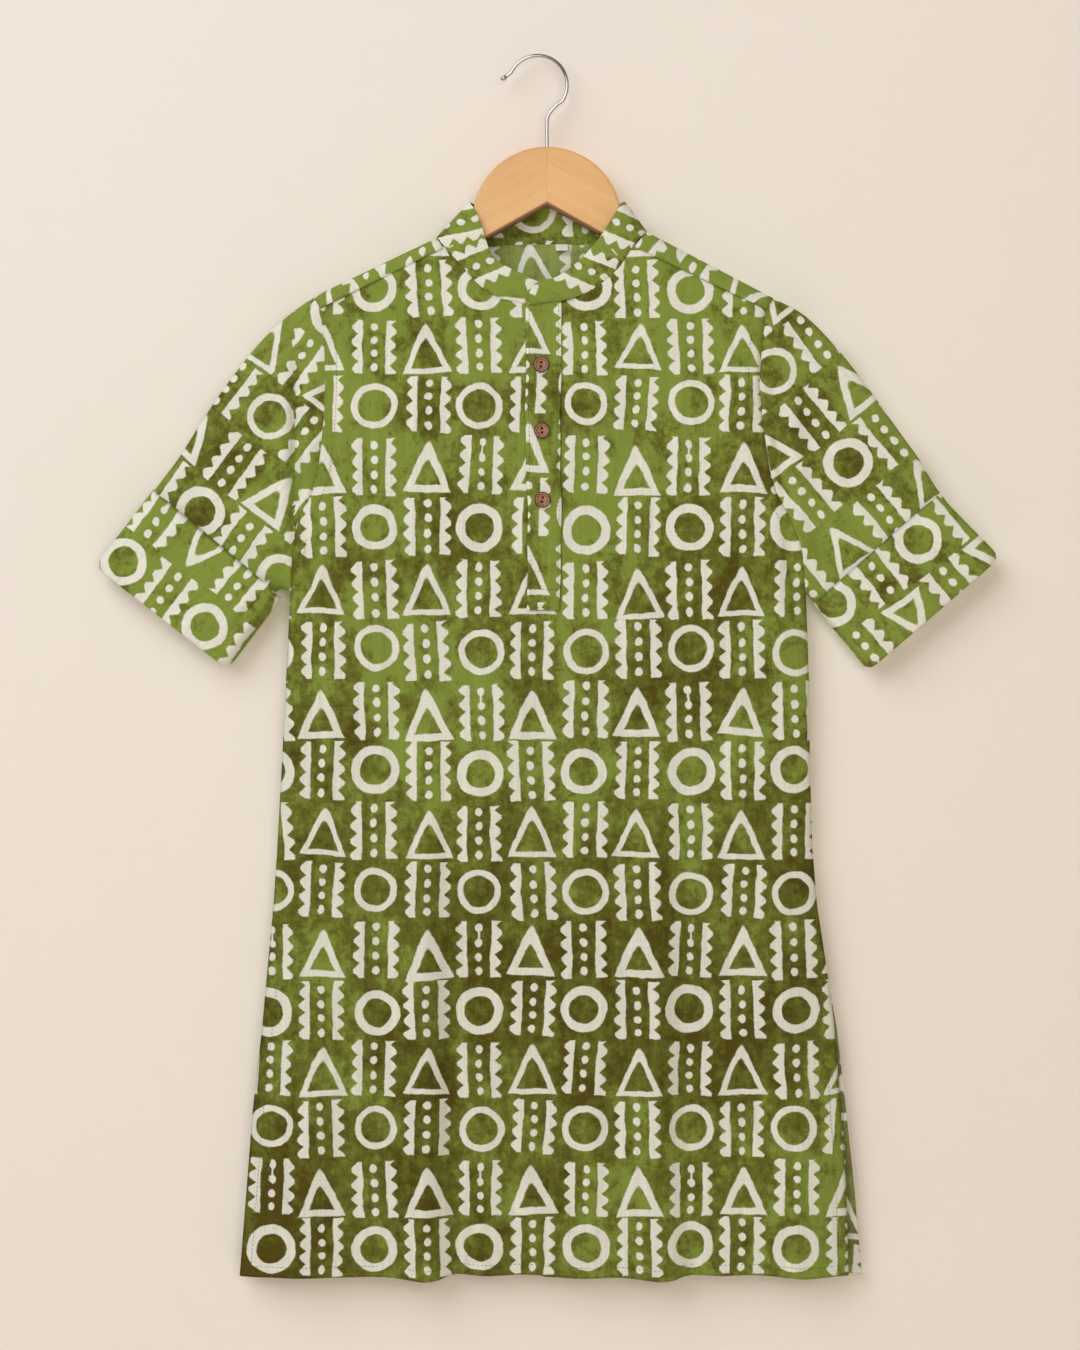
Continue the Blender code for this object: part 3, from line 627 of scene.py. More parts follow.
@cache
def front_place(column, row):
    middle = FRONT_HALF + SLIT_COLUMNS / 2
    side = "left" if column < middle else "right"
    if column > middle:
        column = 2 * FRONT_HALF + SLIT_COLUMNS - column
    in_slit = max(column - FRONT_HALF, 0) / (SLIT_COLUMNS / 2)
    u = min(column, FRONT_HALF) / FRONT_HALF
    spread = u**COLUMN_SPREAD
    neck, seam = NECKLINES[side], SHOULDERS[side]

    def top(u):
        share = u * FRONT_HALF / SHOULDER_COLUMNS
        if share <= 1:
            return mix(Vector(seam[2]), Vector(seam[3]), share)
        return on_line(neck, (u * FRONT_HALF - SHOULDER_COLUMNS) / NECK_COLUMNS)

    def slit(v):
        return mix(Vector((SLIT_EDGES[side], PLACKET_FOOT_Z)), Vector((SLIT_EDGES[side], neck[-1][1])), v)

    def foot(u):
        return mix(armhole(side, 0), slit(0), u**COLUMN_SPREAD)

    if row <= LOWER_ROWS:
        rise = (row / LOWER_ROWS) ** ROW_SPREAD
        at_hem = mix(armhole_x(side, HEM_Z), SLIT_EDGES[side], spread)
        z = mix(hem_z("front", at_hem), foot(u).y, rise)
        x = mix(armhole_x(side, z), SLIT_EDGES[side], spread)
    else:
        x, z = patch(lambda v: armhole(side, v), slit, foot, top, u, (row - LOWER_ROWS) / UPPER_ROWS)
    if in_slit:
        x = mix(x, (SLIT_EDGES["left"] + SLIT_EDGES["right"]) / 2, in_slit)
    return x, -body_depth("front", x, z), z


def front_keep(column, row):
    return not (FRONT_HALF <= column < FRONT_HALF + SLIT_COLUMNS and row >= LOWER_ROWS)


def front_flat(column, row, face):
    x, _, z = front_place(column, row)
    return on_print(x, z)


front = cloth(
    "front_panel_cloth",
    2 * FRONT_HALF + SLIT_COLUMNS,
    BODY_ROWS,
    front_place,
    front_flat,
    WALL,
    front_keep,
)

# --- the back ------------------------------------------------------------------------------------
# The back is cut in one piece with a strip that reaches over each shoulder to a seam in front, so
# that the shoulders fold over the hanger without a seam.
WRAP_ROWS, WRAP_LONG = 14, 27.0
LEVEL_ROWS = 8  # over which the cloth comes level with the shoulders
BACK_NECK_COLUMNS = 34
BACK_COLUMNS = 2 * SHOULDER_COLUMNS + BACK_NECK_COLUMNS
BACK_NECK_RISE = 3.2


def shoulder(side, share, over):
    """On the back's reach over a shoulder: share 0 at the armhole, over 0 at the back, 1 in front."""
    fold_out, fold_in, seam_out, seam_in = (Vector(p) for p in SHOULDERS[side])
    seam, crest = mix(seam_out, seam_in, share), mix(fold_out, fold_in, share)
    turn = math.pi * over
    at = mix(seam, crest, math.sin(turn))
    past = 0.9 * ease((over - 0.8) / 0.2)  # the strip's turned-in edge lies on the front
    at -= Vector((0, 1.2)) * ease((over - 0.85) / 0.15)
    return at.x, (BODY_DEPTH + past) * math.cos(turn) - past * 0.3, at.y


@cache
def back_place(column, row):
    def top(u):
        at = u * BACK_COLUMNS
        if at <= SHOULDER_COLUMNS:
            x, _, z = shoulder("left", at / SHOULDER_COLUMNS, 0)
        elif at >= BACK_COLUMNS - SHOULDER_COLUMNS:
            x, _, z = shoulder("right", (BACK_COLUMNS - at) / SHOULDER_COLUMNS, 0)
        else:
            share = (at - SHOULDER_COLUMNS) / BACK_NECK_COLUMNS
            (x0, _, z0), (x1, _, z1) = shoulder("left", 1, 0), shoulder("right", 1, 0)
            x = mix(x0, x1, share)
            z = mix(z0, z1, share) + BACK_NECK_RISE * math.sin(math.pi * share)
        return Vector((x, z))

    left, right = partial(armhole, "left"), partial(armhole, "right")

    if row > BODY_ROWS:
        over = (row - BODY_ROWS) / WRAP_ROWS
        if column <= SHOULDER_COLUMNS:
            return shoulder("left", column / SHOULDER_COLUMNS, over)
        return shoulder("right", (BACK_COLUMNS - column) / SHOULDER_COLUMNS, over)
    u = column / BACK_COLUMNS
    if row <= LOWER_ROWS:
        rise = (row / LOWER_ROWS) ** ROW_SPREAD
        at_hem = mix(look_up(SIDE_SEAMS, 3, HEM_Z), look_up(SIDE_SEAMS, 4, HEM_Z), u)
        z = mix(hem_z("back", at_hem), UNDERARM_Z, rise)
        x = mix(look_up(SIDE_SEAMS, 3, z), look_up(SIDE_SEAMS, 4, z), u)
    else:
        x, z = patch(left, right, partial(mix, left(0), right(0)), top, u, (row - LOWER_ROWS) / UPPER_ROWS)
    depth = body_depth("back", x, z)
    if row > BODY_ROWS - LEVEL_ROWS:
        depth = mix(depth, BODY_DEPTH, (row - BODY_ROWS + LEVEL_ROWS) / LEVEL_ROWS)
    return x, depth, z


def back_keep(column, row):
    over_a_shoulder = not SHOULDER_COLUMNS <= column < SHOULDER_COLUMNS + BACK_NECK_COLUMNS
    return row < BODY_ROWS or over_a_shoulder


def back_flat(column, row, face):
    x, _, z = back_place(column, min(row, BODY_ROWS))
    u, v = on_print(x + 2.4, z + 12.7)
    if row > BODY_ROWS:
        v += WRAP_LONG * (row - BODY_ROWS) / WRAP_ROWS
    return u, v + 2.2 * CELL_TALL


back = cloth(
    "back_panel_cloth",
    BACK_COLUMNS,
    BODY_ROWS + WRAP_ROWS,
    back_place,
    back_flat,
    WALL,
    back_keep,
    turned=True,
)

# --- the sleeves ---------------------------------------------------------------------------------
# Each sleeve is a short tube set into the armhole and pressed flat, seamed along its lower fold.
# The cuff is the sleeve's own end turned up, cut deep, with a narrow hem under its upper edge.
SLEEVES = {
    "left": {
        "upper": (
            (-169, -172.6), (-191.5, -189.7), (-211, -209.5), (-234.4, -240),
            (-252.6, -267.6), (-266.8, -290), (-284, -313), (-319.6, -364.4),
        ),
        "lower": ((-184.5, -384.5), (-198.0, -386.5), (-229.4, -433.4)),
        "cuff_upper_edge": ((-286.0, -314.0), (-193.5, -391.2)),
        "cuff_foot": ((-326.0, -366.4), (-230.6, -440.6)),
        "grain": (0.617, 0.787),
        "pleat": (-182.5, 11.0),  # where it lies, and the cloth that it takes up
        "cuff_lift": 1.0,
        "cuff_lift_from": 0.2,
        "print_at": (15.0, 0.3),
        "cuff_print_at": (3.1, -19.1),
        "creases": (
            (-180, -212, -182, -366, 3.4, -5.2),
            (-189, -208, -192, -350, 6, 3.2),
            (-171, -220, -173, -330, 5, 2.4),
            (-196, -206, -246, -296, 8, 1.3),
            (-214, -236, -262, -330, 6, -1.2),
            (-204, -300, -226, -372, 8, 1.2),
            (-172, -190, -200, -226, 6, -1.2),
            (-184, -356, -240, -352, 6, 1.2),
        ),
    },
    "right": {
        "upper": (
            (163.4, -173.4), (186, -185.8), (208, -207.9), (229, -234.2),
            (253.3, -268.2), (269.6, -291), (282, -311.6), (318.2, -357.6),
        ),
        "lower": ((186.0, -384.5), (193.0, -392.0), (232.4, -435.4)),
        "cuff_upper_edge": ((284.6, -316.8), (194.4, -395.6)),
        "cuff_foot": ((327.0, -360.0), (231.6, -442.0)),
        "grain": (-0.610, 0.792),
        "pleat": (0.0, 0.0),
        "cuff_lift": 0.35,
        "cuff_lift_from": 0.6,
        "print_at": (26.7, -47.7),
        "cuff_print_at": (18.0, 16.7),
        "creases": (
            (160, -226, 172, -322, 5, -3.6),
            (171, -200, 186, -344, 6, 2.4),
            (190, -214, 236, -318, 8, 1.3),
            (206, -206, 262, -300, 7, -1.2),
            (186, -330, 214, -384, 7, -1.5),
            (168, -186, 196, -210, 6, -1),
        ),
    },
}
SLEEVE_DEPTH = 6.4
SLEEVE_ROUND = 11.0
CUFF_DEPTH = 8.2
CUFF_ROUND = 12.0
FOLD_STEPS = 8
FLAT_STEPS = 40
HALF_ROUND = 2 * FOLD_STEPS + FLAT_STEPS
SLEEVE_ROWS, SLEEVE_LONG = 60, 250.0
TUCK = 3.0  # how far the sleeve's edge lies under the body's


def around_tube(step, width, upper_round, lower_round):
    """(share of the width from the upper fold, share of the depth) at a step round a flat tube."""
    face = 1 if step <= HALF_ROUND else -1
    step = min(step, 2 * HALF_ROUND - step)
    if step <= FOLD_STEPS:
        turn = math.pi / 2 * step / FOLD_STEPS
        return upper_round * (1 - math.cos(turn)) / width, face * math.sin(turn)
    if step >= HALF_ROUND - FOLD_STEPS:
        turn = math.pi / 2 * (HALF_ROUND - step) / FOLD_STEPS
        return 1 - lower_round * (1 - math.cos(turn)) / width, face * math.sin(turn)
    share = (step - FOLD_STEPS) / FLAT_STEPS
    return mix(upper_round / width, 1 - lower_round / width, share), face


@cache
def sleeve_place(side, step, row):
    cut = SLEEVES[side]
    crest, _, seam, _ = (Vector(p) for p in SHOULDERS[side])
    s = (max(row - 1, 0) / (SLEEVE_ROWS - 1)) ** ROW_SPREAD
    upper, lower = on_line(cut["upper"], s), on_line(cut["lower"], s)
    width = (upper - lower).length
    upper_round = mix((crest - seam).length, SLEEVE_ROUND, ease(s * 3))
    lower_round = mix(UNDERARM_ROUND, SLEEVE_ROUND, ease(s * 2))
    w, depth = around_tube(step, width, upper_round, lower_round)
    level = min(step, 2 * HALF_ROUND - step)
    if level <= FOLD_STEPS:
        at_body = mix(crest, seam, 1 - math.cos(math.pi / 2 * level / FOLD_STEPS))
    elif level >= HALF_ROUND - FOLD_STEPS:
        at_body = armhole(side, ROUND_SHARE * (HALF_ROUND - level) / FOLD_STEPS)
    else:
        at_body = armhole(side, mix(1.0, ROUND_SHARE, (level - FOLD_STEPS) / FLAT_STEPS))
    from_straight = at_body - mix(crest, armhole(side, 0), w)
    x, z = mix(upper, lower, w) + from_straight * (1 - s)
    out = 1 if side == "right" else -1
    run = s * SLEEVE_LONG
    under = 1.1 * (1 - ease(run / 7))  # the seam's turnings lie under the body's cloth
    x -= out * (TUCK if row < 1 else 0.3 * (1 - s))
    flatness = abs(depth)
    z += under * (1 - flatness) * (-1 if w < 0.5 else 1)
    full = mix(BODY_DEPTH, SLEEVE_DEPTH, ease(s * 3.4))
    if depth > 0:
        relief = creases_at(cut["creases"], x, z)
    else:
        relief = 0.8 * creases_at(cut["creases"], x + 14 * out, z - 9)
    relief += 0.8 * ripple(x, z, 21.0 if depth > 0 else 29.0)
    pucker = 0.35 * math.sin(z * 0.66) * math.exp(-run / 9)
    calm = ease((1 - s) * 5) * ease(run / 5) * flatness**3
    return x, -depth * (full - under) - math.copysign(1, depth) * (relief * calm + pucker * flatness), z


def on_grain(side, x, z):
    """Across and along the grain, which runs down the sleeve."""
    up = Vector(SLEEVES[side]["grain"])
    return Vector((x, z)).dot((up.y, -up.x)), Vector((x, z)).dot(up)


def sleeve_flat(side, step, row, face):
    """Behind the upper fold the cloth goes on round."""
    x, _, z = sleeve_place(side, step, row)
    across, along = on_grain(side, x, z)
    if face[0] > HALF_ROUND:
        x, _, z = sleeve_place(side, 0, SLEEVE_ROWS // 2)
        across = 2 * on_grain(side, x, z)[0] - across
    pleat_x, taken_up = SLEEVES[side]["pleat"]
    if sleeve_place(side, *face)[0] > pleat_x:
        across += taken_up  # the cloth goes under itself at the pleat beside the armhole
    print_across, print_along = SLEEVES[side]["print_at"]
    return across + print_across + 40 * CELL_WIDE, along + print_along + 52 * CELL_TALL


CUFF_ROWS = 40
CUFF_CREASES = {
    "left": (
        (-238, -430, -204, -384, 2.6, -1.6),
        (-229, -428, -199, -390, 3.6, 4.4),
        (-226, -410, -212, -392, 2, -2.2),
        (-296, -330, -322, -366, 5, 0.9),
        (-252, -356, -276, -392, 7, -0.8),
    ),
    "right": (
        (238, -438, 208, -398, 2.4, -1.2),
        (230, -436, 203, -400, 3, 3.4),
        (296, -326, 318, -362, 5, 0.9),
        (256, -350, 284, -388, 7, -0.8),
    ),
}
CUFF_DEEP, CUFF_INSIDE = 62.0, 14.0
TURN_IN_ROW, OUTSIDE_ROW, UNDERSIDE_ROW, FOOT_ROW = 3, 29, 31, 34
ROW_INSIDE = 2.6
CUFF_FOLD = 2.3  # from the outer face to the inner one
CORNER = 7.0  # the cuff's foot is rounded off by this much at both folds


def cuff_track(row):
    """(share from the upper edge to the foot, how far the wall is from the outer face) down the cuff,
    round its foot and up inside the sleeve."""
    hem, rim = 0.06, 0.015  # shares of the cuff that the turned-in hem and the round of the foot take
    if row <= TURN_IN_ROW:
        return hem - hem * row / TURN_IN_ROW, 0.9 * (1 - row / TURN_IN_ROW)
    if row <= OUTSIDE_ROW:
        return ((row - TURN_IN_ROW) / (OUTSIDE_ROW - TURN_IN_ROW)) ** 1.5 * (1 - rim), 0.0
    if row <= FOOT_ROW:
        turn = math.pi * (row - OUTSIDE_ROW) / (FOOT_ROW - OUTSIDE_ROW)
        return 1 - rim + rim * math.sin(turn), CUFF_FOLD / 2 * (1 - math.cos(turn))
    inward = (row - FOOT_ROW) / (CUFF_ROWS - FOOT_ROW)
    return 1 - rim - inward * CUFF_INSIDE / CUFF_DEEP, CUFF_FOLD


@cache
def cuff_place(side, step, row):
    cut = SLEEVES[side]
    s, sunk = cuff_track(row)
    ends = [mix(Vector(a), Vector(b), s) for a, b in zip(cut["cuff_upper_edge"], cut["cuff_foot"])]
    inward = (ends[1] - ends[0]).normalized()
    off = sunk + CORNER * (1 - rounded(1 - min(s, 1.0), 0.13)) * 0.8
    ends = [ends[0] + inward * off, ends[1] - inward * off]
    width = (ends[0] - ends[1]).length
    w, depth = around_tube(step, width, CUFF_ROUND, CUFF_ROUND)
    x, z = mix(ends[0], ends[1], w)
    flatness = abs(depth)
    relief = 0.7 * ripple(x, z, 37.0 if depth > 0 else 41.0) * (1 if s < 0.9 else 0.4)
    folded = creases_at(CUFF_CREASES[side], x, z) * (1 if sunk == 0 else 0.3)
    relief += 0.25 * math.sin((x + z) * 0.6) * math.exp(-((s - 0.93) ** 2) / 0.002)
    lift = cut["cuff_lift"] * (1.1 + math.sin((w * 2.4 + cut["cuff_lift_from"]) * math.pi))  # the edge gapes
    relief += lift * (1 - s) ** 2
    relief = relief * flatness**3 + folded * flatness
    return x, -depth * (CUFF_DEPTH + 0.35 - sunk) - math.copysign(1, depth) * relief, z


def cuff_flat(side, step, row, face):
    x, _, z = cuff_place(side, step, row)
    across, along = on_grain(side, x, z)
    if face[0] > HALF_ROUND:
        x, _, z = cuff_place(side, 0, CUFF_ROWS // 3)
        across = 2 * on_grain(side, x, z)[0] - across
    if row > UNDERSIDE_ROW:
        along -= (row - UNDERSIDE_ROW) * ROW_INSIDE
    print_across, print_along = SLEEVES[side]["cuff_print_at"]
    return 40 * CELL_WIDE - across + print_across, 40 * CELL_TALL - along + print_along


for side in ("left", "right"):
    sleeve = cloth(
        f"sleeve_{side}_cloth",
        2 * HALF_ROUND,
        SLEEVE_ROWS,
        partial(sleeve_place, side),
        partial(sleeve_flat, side),
        WALL,
        turned=side == "left",
    )
    cuff = cloth(
        f"cuff_{side}_cloth",
        2 * HALF_ROUND,
        CUFF_ROWS,
        partial(cuff_place, side),
        partial(cuff_flat, side),
        WALL,
        turned=side == "left",
    )

# --- the collar ----------------------------------------------------------------------------------
# A stand collar of doubled cloth, sewn round the neck and lapped in front, right over left, with a
# rounded corner on top.
COLLAR = (
    # seam_x, seam_z, top_x, top_z, depth (share of BODY_DEPTH, + at the back), lap (towards the front)
    (9, -176.6, 9, -163, -1, -1.3),
    (-5, -178, -2, -162.6, -1, -1),
    (-14.5, -178, -9, -160.8, -1, -0.3),
    (-26, -175.6, -16.6, -156.8, -1, 0),
    (-35.6, -173, -25.7, -152.8, -1, 0),
    (-49.2, -164, -33.8, -148.4, -1, 0),
    (-62, -149.8, -40.8, -141, -1, 0),
    (-74.6, -136.2, -47.2, -121.4, -1, 0),
    (-77.2, -132.3, -51.6, -110.5, -0.8, 0),
    (-79.4, -129.6, -55.8, -103.8, 0, 0),
    (-77.2, -132.3, -52.5, -104.2, 0.8, 0),
    (-73, -136.8, -48, -104.6, 1, 0),
    (-40, -135.2, -34, -105.2, 1, 0),
    (-6, -134.2, -4, -105.6, 1, 0),
    (30, -134.8, 26, -105, 1, 0),
    (61, -135.4, 47, -104.2, 1, 0),
    (67.8, -129.4, 51.8, -103.9, 0.8, 0),
    (71.6, -125.4, 55.8, -103.6, 0, 0),
    (67.8, -129.4, 51.4, -109, -0.8, 0),
    (62.4, -135.2, 46, -118, -1, 0),
    (52.2, -151.2, 37, -131.4, -1, 0),
    (37.2, -165, 24.4, -145.6, -1, 0.2),
    (23.6, -172, 13.6, -154.4, -1, 0.8),
    (12.6, -175.4, 5.4, -159.4, -1, 1.6),
    (0, -177.2, -3, -161.2, -1, 2.2),
    (-9.4, -178.2, -8.6, -164, -1, 2.3),
    (-13.6, -178.6, -12.6, -170.4, -1, 2.3),
)
COLLAR_STEPS = 5  # columns of the grid to one of the table
COLLAR_ROWS = 10
COLLAR_WALL = 1.4
COLLAR_FOLDS = (9, 17)  # the table's columns at the two sides, where front meets back
COLLAR_PRINT = {
    # the middle of a figure, x and z, the way that the print stands up, and the figure's row
    "left": (((-45.4, -147.9), (0.927, 0.375), 45), ((-66.2, -119.1), (0.985, 0.17), 45)),
    "back": (((-9.0, -107.0), (0.0, 1.0), 44),),
    "right": (((53.3, -122.0), (-0.921, 0.39), 45), ((25.9, -153.7), (-0.921, 0.39), 45)),
}


def collar_line(column):
    """The six columns of the table, read smoothly between its rows."""
    share = column / COLLAR_STEPS
    k = min(int(share), len(COLLAR) - 2)
    near = [COLLAR[min(max(k + step, 0), len(COLLAR) - 1)] for step in (-1, 0, 1, 2)]
    t = share - k
    return [
        0.5 * (2 * b + (c - a) * t + (2 * a - 5 * b + 4 * c - d) * t**2 + (3 * b - a - 3 * c + d) * t**3)
        for a, b, c, d in zip(*near)
    ]


def collar_place(column, row):
    seam_x, seam_z, top_x, top_z, depth, lap = collar_line(column)
    share = row / COLLAR_ROWS
    x, z = mix(seam_x, top_x, share), mix(seam_z, top_z, share)
    depth = min(max(depth, -1.0), 1.0)
    roll = 1.0 * math.sin(math.pi * share) - 0.5 * ease(1 - 6 * share)
    waves = 0.8 * ripple(1.6 * x, 1.3 * z, 51.0) + 0.25 * math.sin(column * 1.9) * math.exp(-5 * share)
    return x, depth * (BODY_DEPTH + 0.8 + roll) - lap - waves * abs(depth) ** 3 * 0.6, z


def collar_flat(column, row, face):
    """The collar's cut is curved, so that the print leans on its two fronts."""
    low, high = COLLAR_FOLDS
    part = ("left", "back", "right")[(face[0] > low * COLLAR_STEPS) + (face[0] > high * COLLAR_STEPS)]

    def from_figure(column, row, middle, up):
        x, _, z = collar_place(column, row)
        away, up = Vector((x, z)) - Vector(middle), Vector(up).normalized()
        return away.dot((up.y, -up.x)), away.dot(up)

    nearest = min(COLLAR_PRINT[part], key=lambda figure: abs(from_figure(*face, *figure[:2])[0]))
    across, along = from_figure(column, row, *nearest[:2])
    return across + 40.5 * CELL_WIDE, along + (nearest[2] + 0.5) * CELL_TALL


collar = cloth(
    "collar_cloth",
    (len(COLLAR) - 1) * COLLAR_STEPS,
    COLLAR_ROWS,
    collar_place,
    collar_flat,
    COLLAR_WALL,
    edge=0.45,
    doubled=True,
)

# --- the placket ---------------------------------------------------------------------------------
# Two strips of the same cloth cover the slit at the neck. The upper strip is sewn down along both
# edges, and across its foot with a box. Three buttons close it.
OVER_PLACKET = ((-16.0, 10.0, -175.8), (-13.8, 9.6, -398.4))  # left, right, z: top and foot
UNDER_PLACKET = ((-14.0, 12.6, -179.4), (-13.6, 12.2, -397.6))
OVER_PRINT, UNDER_PRINT = (4.6, -13.6), (-9.0, 12.0)  # how far each strip's print is from the front's
PLACKET_WALL = 1.2
PLACKET_COLUMNS, PLACKET_ROWS = 10, 76
OVER_AWAY, UNDER_AWAY = (WALL + PLACKET_WALL) / 2 + 0.45, -1.6  # in front of the front's cloth, and behind it


def strip_place(ends, away, column, row):
    (left, right, top), (foot_left, foot_right, foot) = ends
    drop = 1 - row / PLACKET_ROWS
    across = column / PLACKET_COLUMNS
    wander = 0.5 * math.sin(drop * 11.0) + 0.3 * math.sin(drop * 29.0 + 1)
    x = mix(mix(left, foot_left, drop), mix(right, foot_right, drop), across) + wander
    z = mix(top, foot, drop)
    edge = min(across, 1 - across) * (right - left)
    puff = 0.35 * ease(edge / 3.5) + 0.25 * noise.noise(Vector((x / 9, z / 13, 61)))
    pucker = 0.16 * math.sin(z * 0.9 + 2 * math.sin(z * 0.21)) * math.exp(-(((edge - 2.2) / 1.6) ** 2))
    return x, -body_depth("front", 0.0, z) - away - (puff + pucker) * (1 if away > 0 else 0), z


def strip_flat(ends, shift, column, row, face):
    x, _, z = strip_place(ends, 0.0, column, row)
    return on_print(x + shift[0], z + shift[1])


on_top = partial(strip_place, OVER_PLACKET, OVER_AWAY)
over = cloth(
    "placket_over_cloth",
    PLACKET_COLUMNS,
    PLACKET_ROWS,
    on_top,
    partial(strip_flat, OVER_PLACKET, OVER_PRINT),
    PLACKET_WALL,
    edge=0.4,
    doubled=True,
)
under = cloth(
    "placket_under_cloth",
    PLACKET_COLUMNS,
    PLACKET_ROWS,
    partial(strip_place, UNDER_PLACKET, UNDER_AWAY),
    partial(strip_flat, UNDER_PLACKET, UNDER_PRINT),
    WALL,
    doubled=True,
)

# --- the loop label ------------------------------------------------------------------------------
# A short end of plain white cotton tape, folded double and caught in the back neck seam. Its lower
# end lifts off the cloth.
LABEL_LEFT, LABEL_RIGHT = 6.0, 15.2
LABEL_COLUMNS, LABEL_WALL = 6, 0.3
LABEL_PATH = (
    # y, z from the seam, down and back up
    (7, -133.2), (6.6, -134.6), (5.6, -136.3), (4.4, -137.7), (3.6, -138.2),
    (3.2, -137.7), (3.8, -136.6), (5, -135.3), (6.1, -134), (6.4, -133.2),
)


def label_place(column, row):
    y, z = LABEL_PATH[round(row)]
    skew = 0.5 * row / len(LABEL_PATH)
    x = mix(LABEL_LEFT, LABEL_RIGHT, column / LABEL_COLUMNS) + skew
    return x, y - 0.25 * math.sin(column), z


def label_flat(column, row, face):
    return column * 1.5, row * 1.6


label = cloth("loop_label_cloth", LABEL_COLUMNS, len(LABEL_PATH) - 1, label_place, label_flat, LABEL_WALL)
tape, tree, shader = new_material("white_tape")
at = node(tree, "ShaderNodeUVMap", {"uv_map": "cloth"}, {})
values = {"Vector": at, "Scale": 420.0, "Distortion": 0.6}
ribs = node(tree, "ShaderNodeTexWave", {"bands_direction": "X"}, values, 1)
colour = blended(tree, ribs * 0.5, (0.80, 0.775, 0.72, 1.0), (0.66, 0.635, 0.57, 1.0))
bump = bumps(tree, ribs, 0.4, 0.3)
finish_with(tree, shader, Base_Color=colour, Roughness=0.75 + ribs * 0.1, Normal=bump)
label.data.materials.clear()
label.data.materials.append(tape)
label.modifiers["wall"].material_offset = 0

# --- the buttons ---------------------------------------------------------------------------------
# Three turned coconut-shell buttons with a rolled rim, a dished middle and two holes, sewn on with
# brown thread.
BUTTONS = ((-4.2, -222.0, 6), (-3.7, -269.4, -4), (-3.3, -319.2, 9))  # x, z, tilt in degrees
BUTTON_THICK = 2.6
BUTTON_STAND = 2.6  # from the front's cloth to the button's back, over the placket
HOLE_RADIUS, HOLE_PITCH = 0.95, 3.1
RIM = (
    # radius, depth from the crest of the rim: from the dish out and round to the back
    (3.55, 0.75), (3.9, 0.62), (4.15, 0.3), (4.5, 0.06), (4.9, 0), (5.3, 0.1), (5.58, 0.4),
    (5.74, 0.9), (5.75, 1.5), (5.6, 2.1), (5.2, 2.5), (4.4, BUTTON_THICK),
)
shell_brown, tree, shader = new_material("coconut_shell")
at = node(tree, "ShaderNodeTexCoord", {}, {}, "Object")
turned = node(tree, "ShaderNodeUVMap", {"uv_map": "turned"}, {})  # from the button's middle, in centimetres
from_middle = node(tree, "ShaderNodeVectorMath", {"operation": "LENGTH"}, {0: turned}, 1) * 10
flecks = noisy(tree, at, 1500.0, 3.0)
grain = noisy(tree, stretched(tree, at, 260.0, 260.0, 1400.0), 1.0)
spots = ((flecks - 0.44) * 5).clamped()
colour = blended(tree, spots, (0.235, 0.095, 0.048, 1.0), (0.52, 0.255, 0.140, 1.0))
colour = blended(tree, ((grain - 0.5) * 3).clamped() * 0.6, colour, (0.56, 0.30, 0.175, 1.0))
# Painted shade: a dark ring where the dish meets the rim, and the rim's outer edge painted near black, as if
# in shadow.
painted_groove_shade = (1.3 - abs(from_middle - 3.7) / 0.32).clamped() * 0.8
painted_rim_shade = ((from_middle - 4.75) / 0.3).clamped()
colour = blended(tree, painted_groove_shade.maths("MAXIMUM", painted_rim_shade) * 0.92, colour, (0.026, 0.009, 0.005, 1.0))
bump = bumps(tree, flecks, 0.3, 0.2)
finish_with(tree, shader, Base_Color=colour, Roughness=0.42 + flecks * 0.2, Normal=bump)
thread_brown, tree, shader = new_material("brown_thread")
finish_with(tree, shader, Base_Color=(0.022, 0.010, 0.006, 1.0), Roughness=0.8)


def hard_piece(bm, name, material):
    """Closes a bmesh's seams, turns its faces outwards and makes a piece of it."""
    bmesh.ops.remove_doubles(bm, verts=bm.verts, dist=0.005 * MM)
    bmesh.ops.recalc_face_normals(bm, faces=bm.faces)
    return piece(bm, name, material)


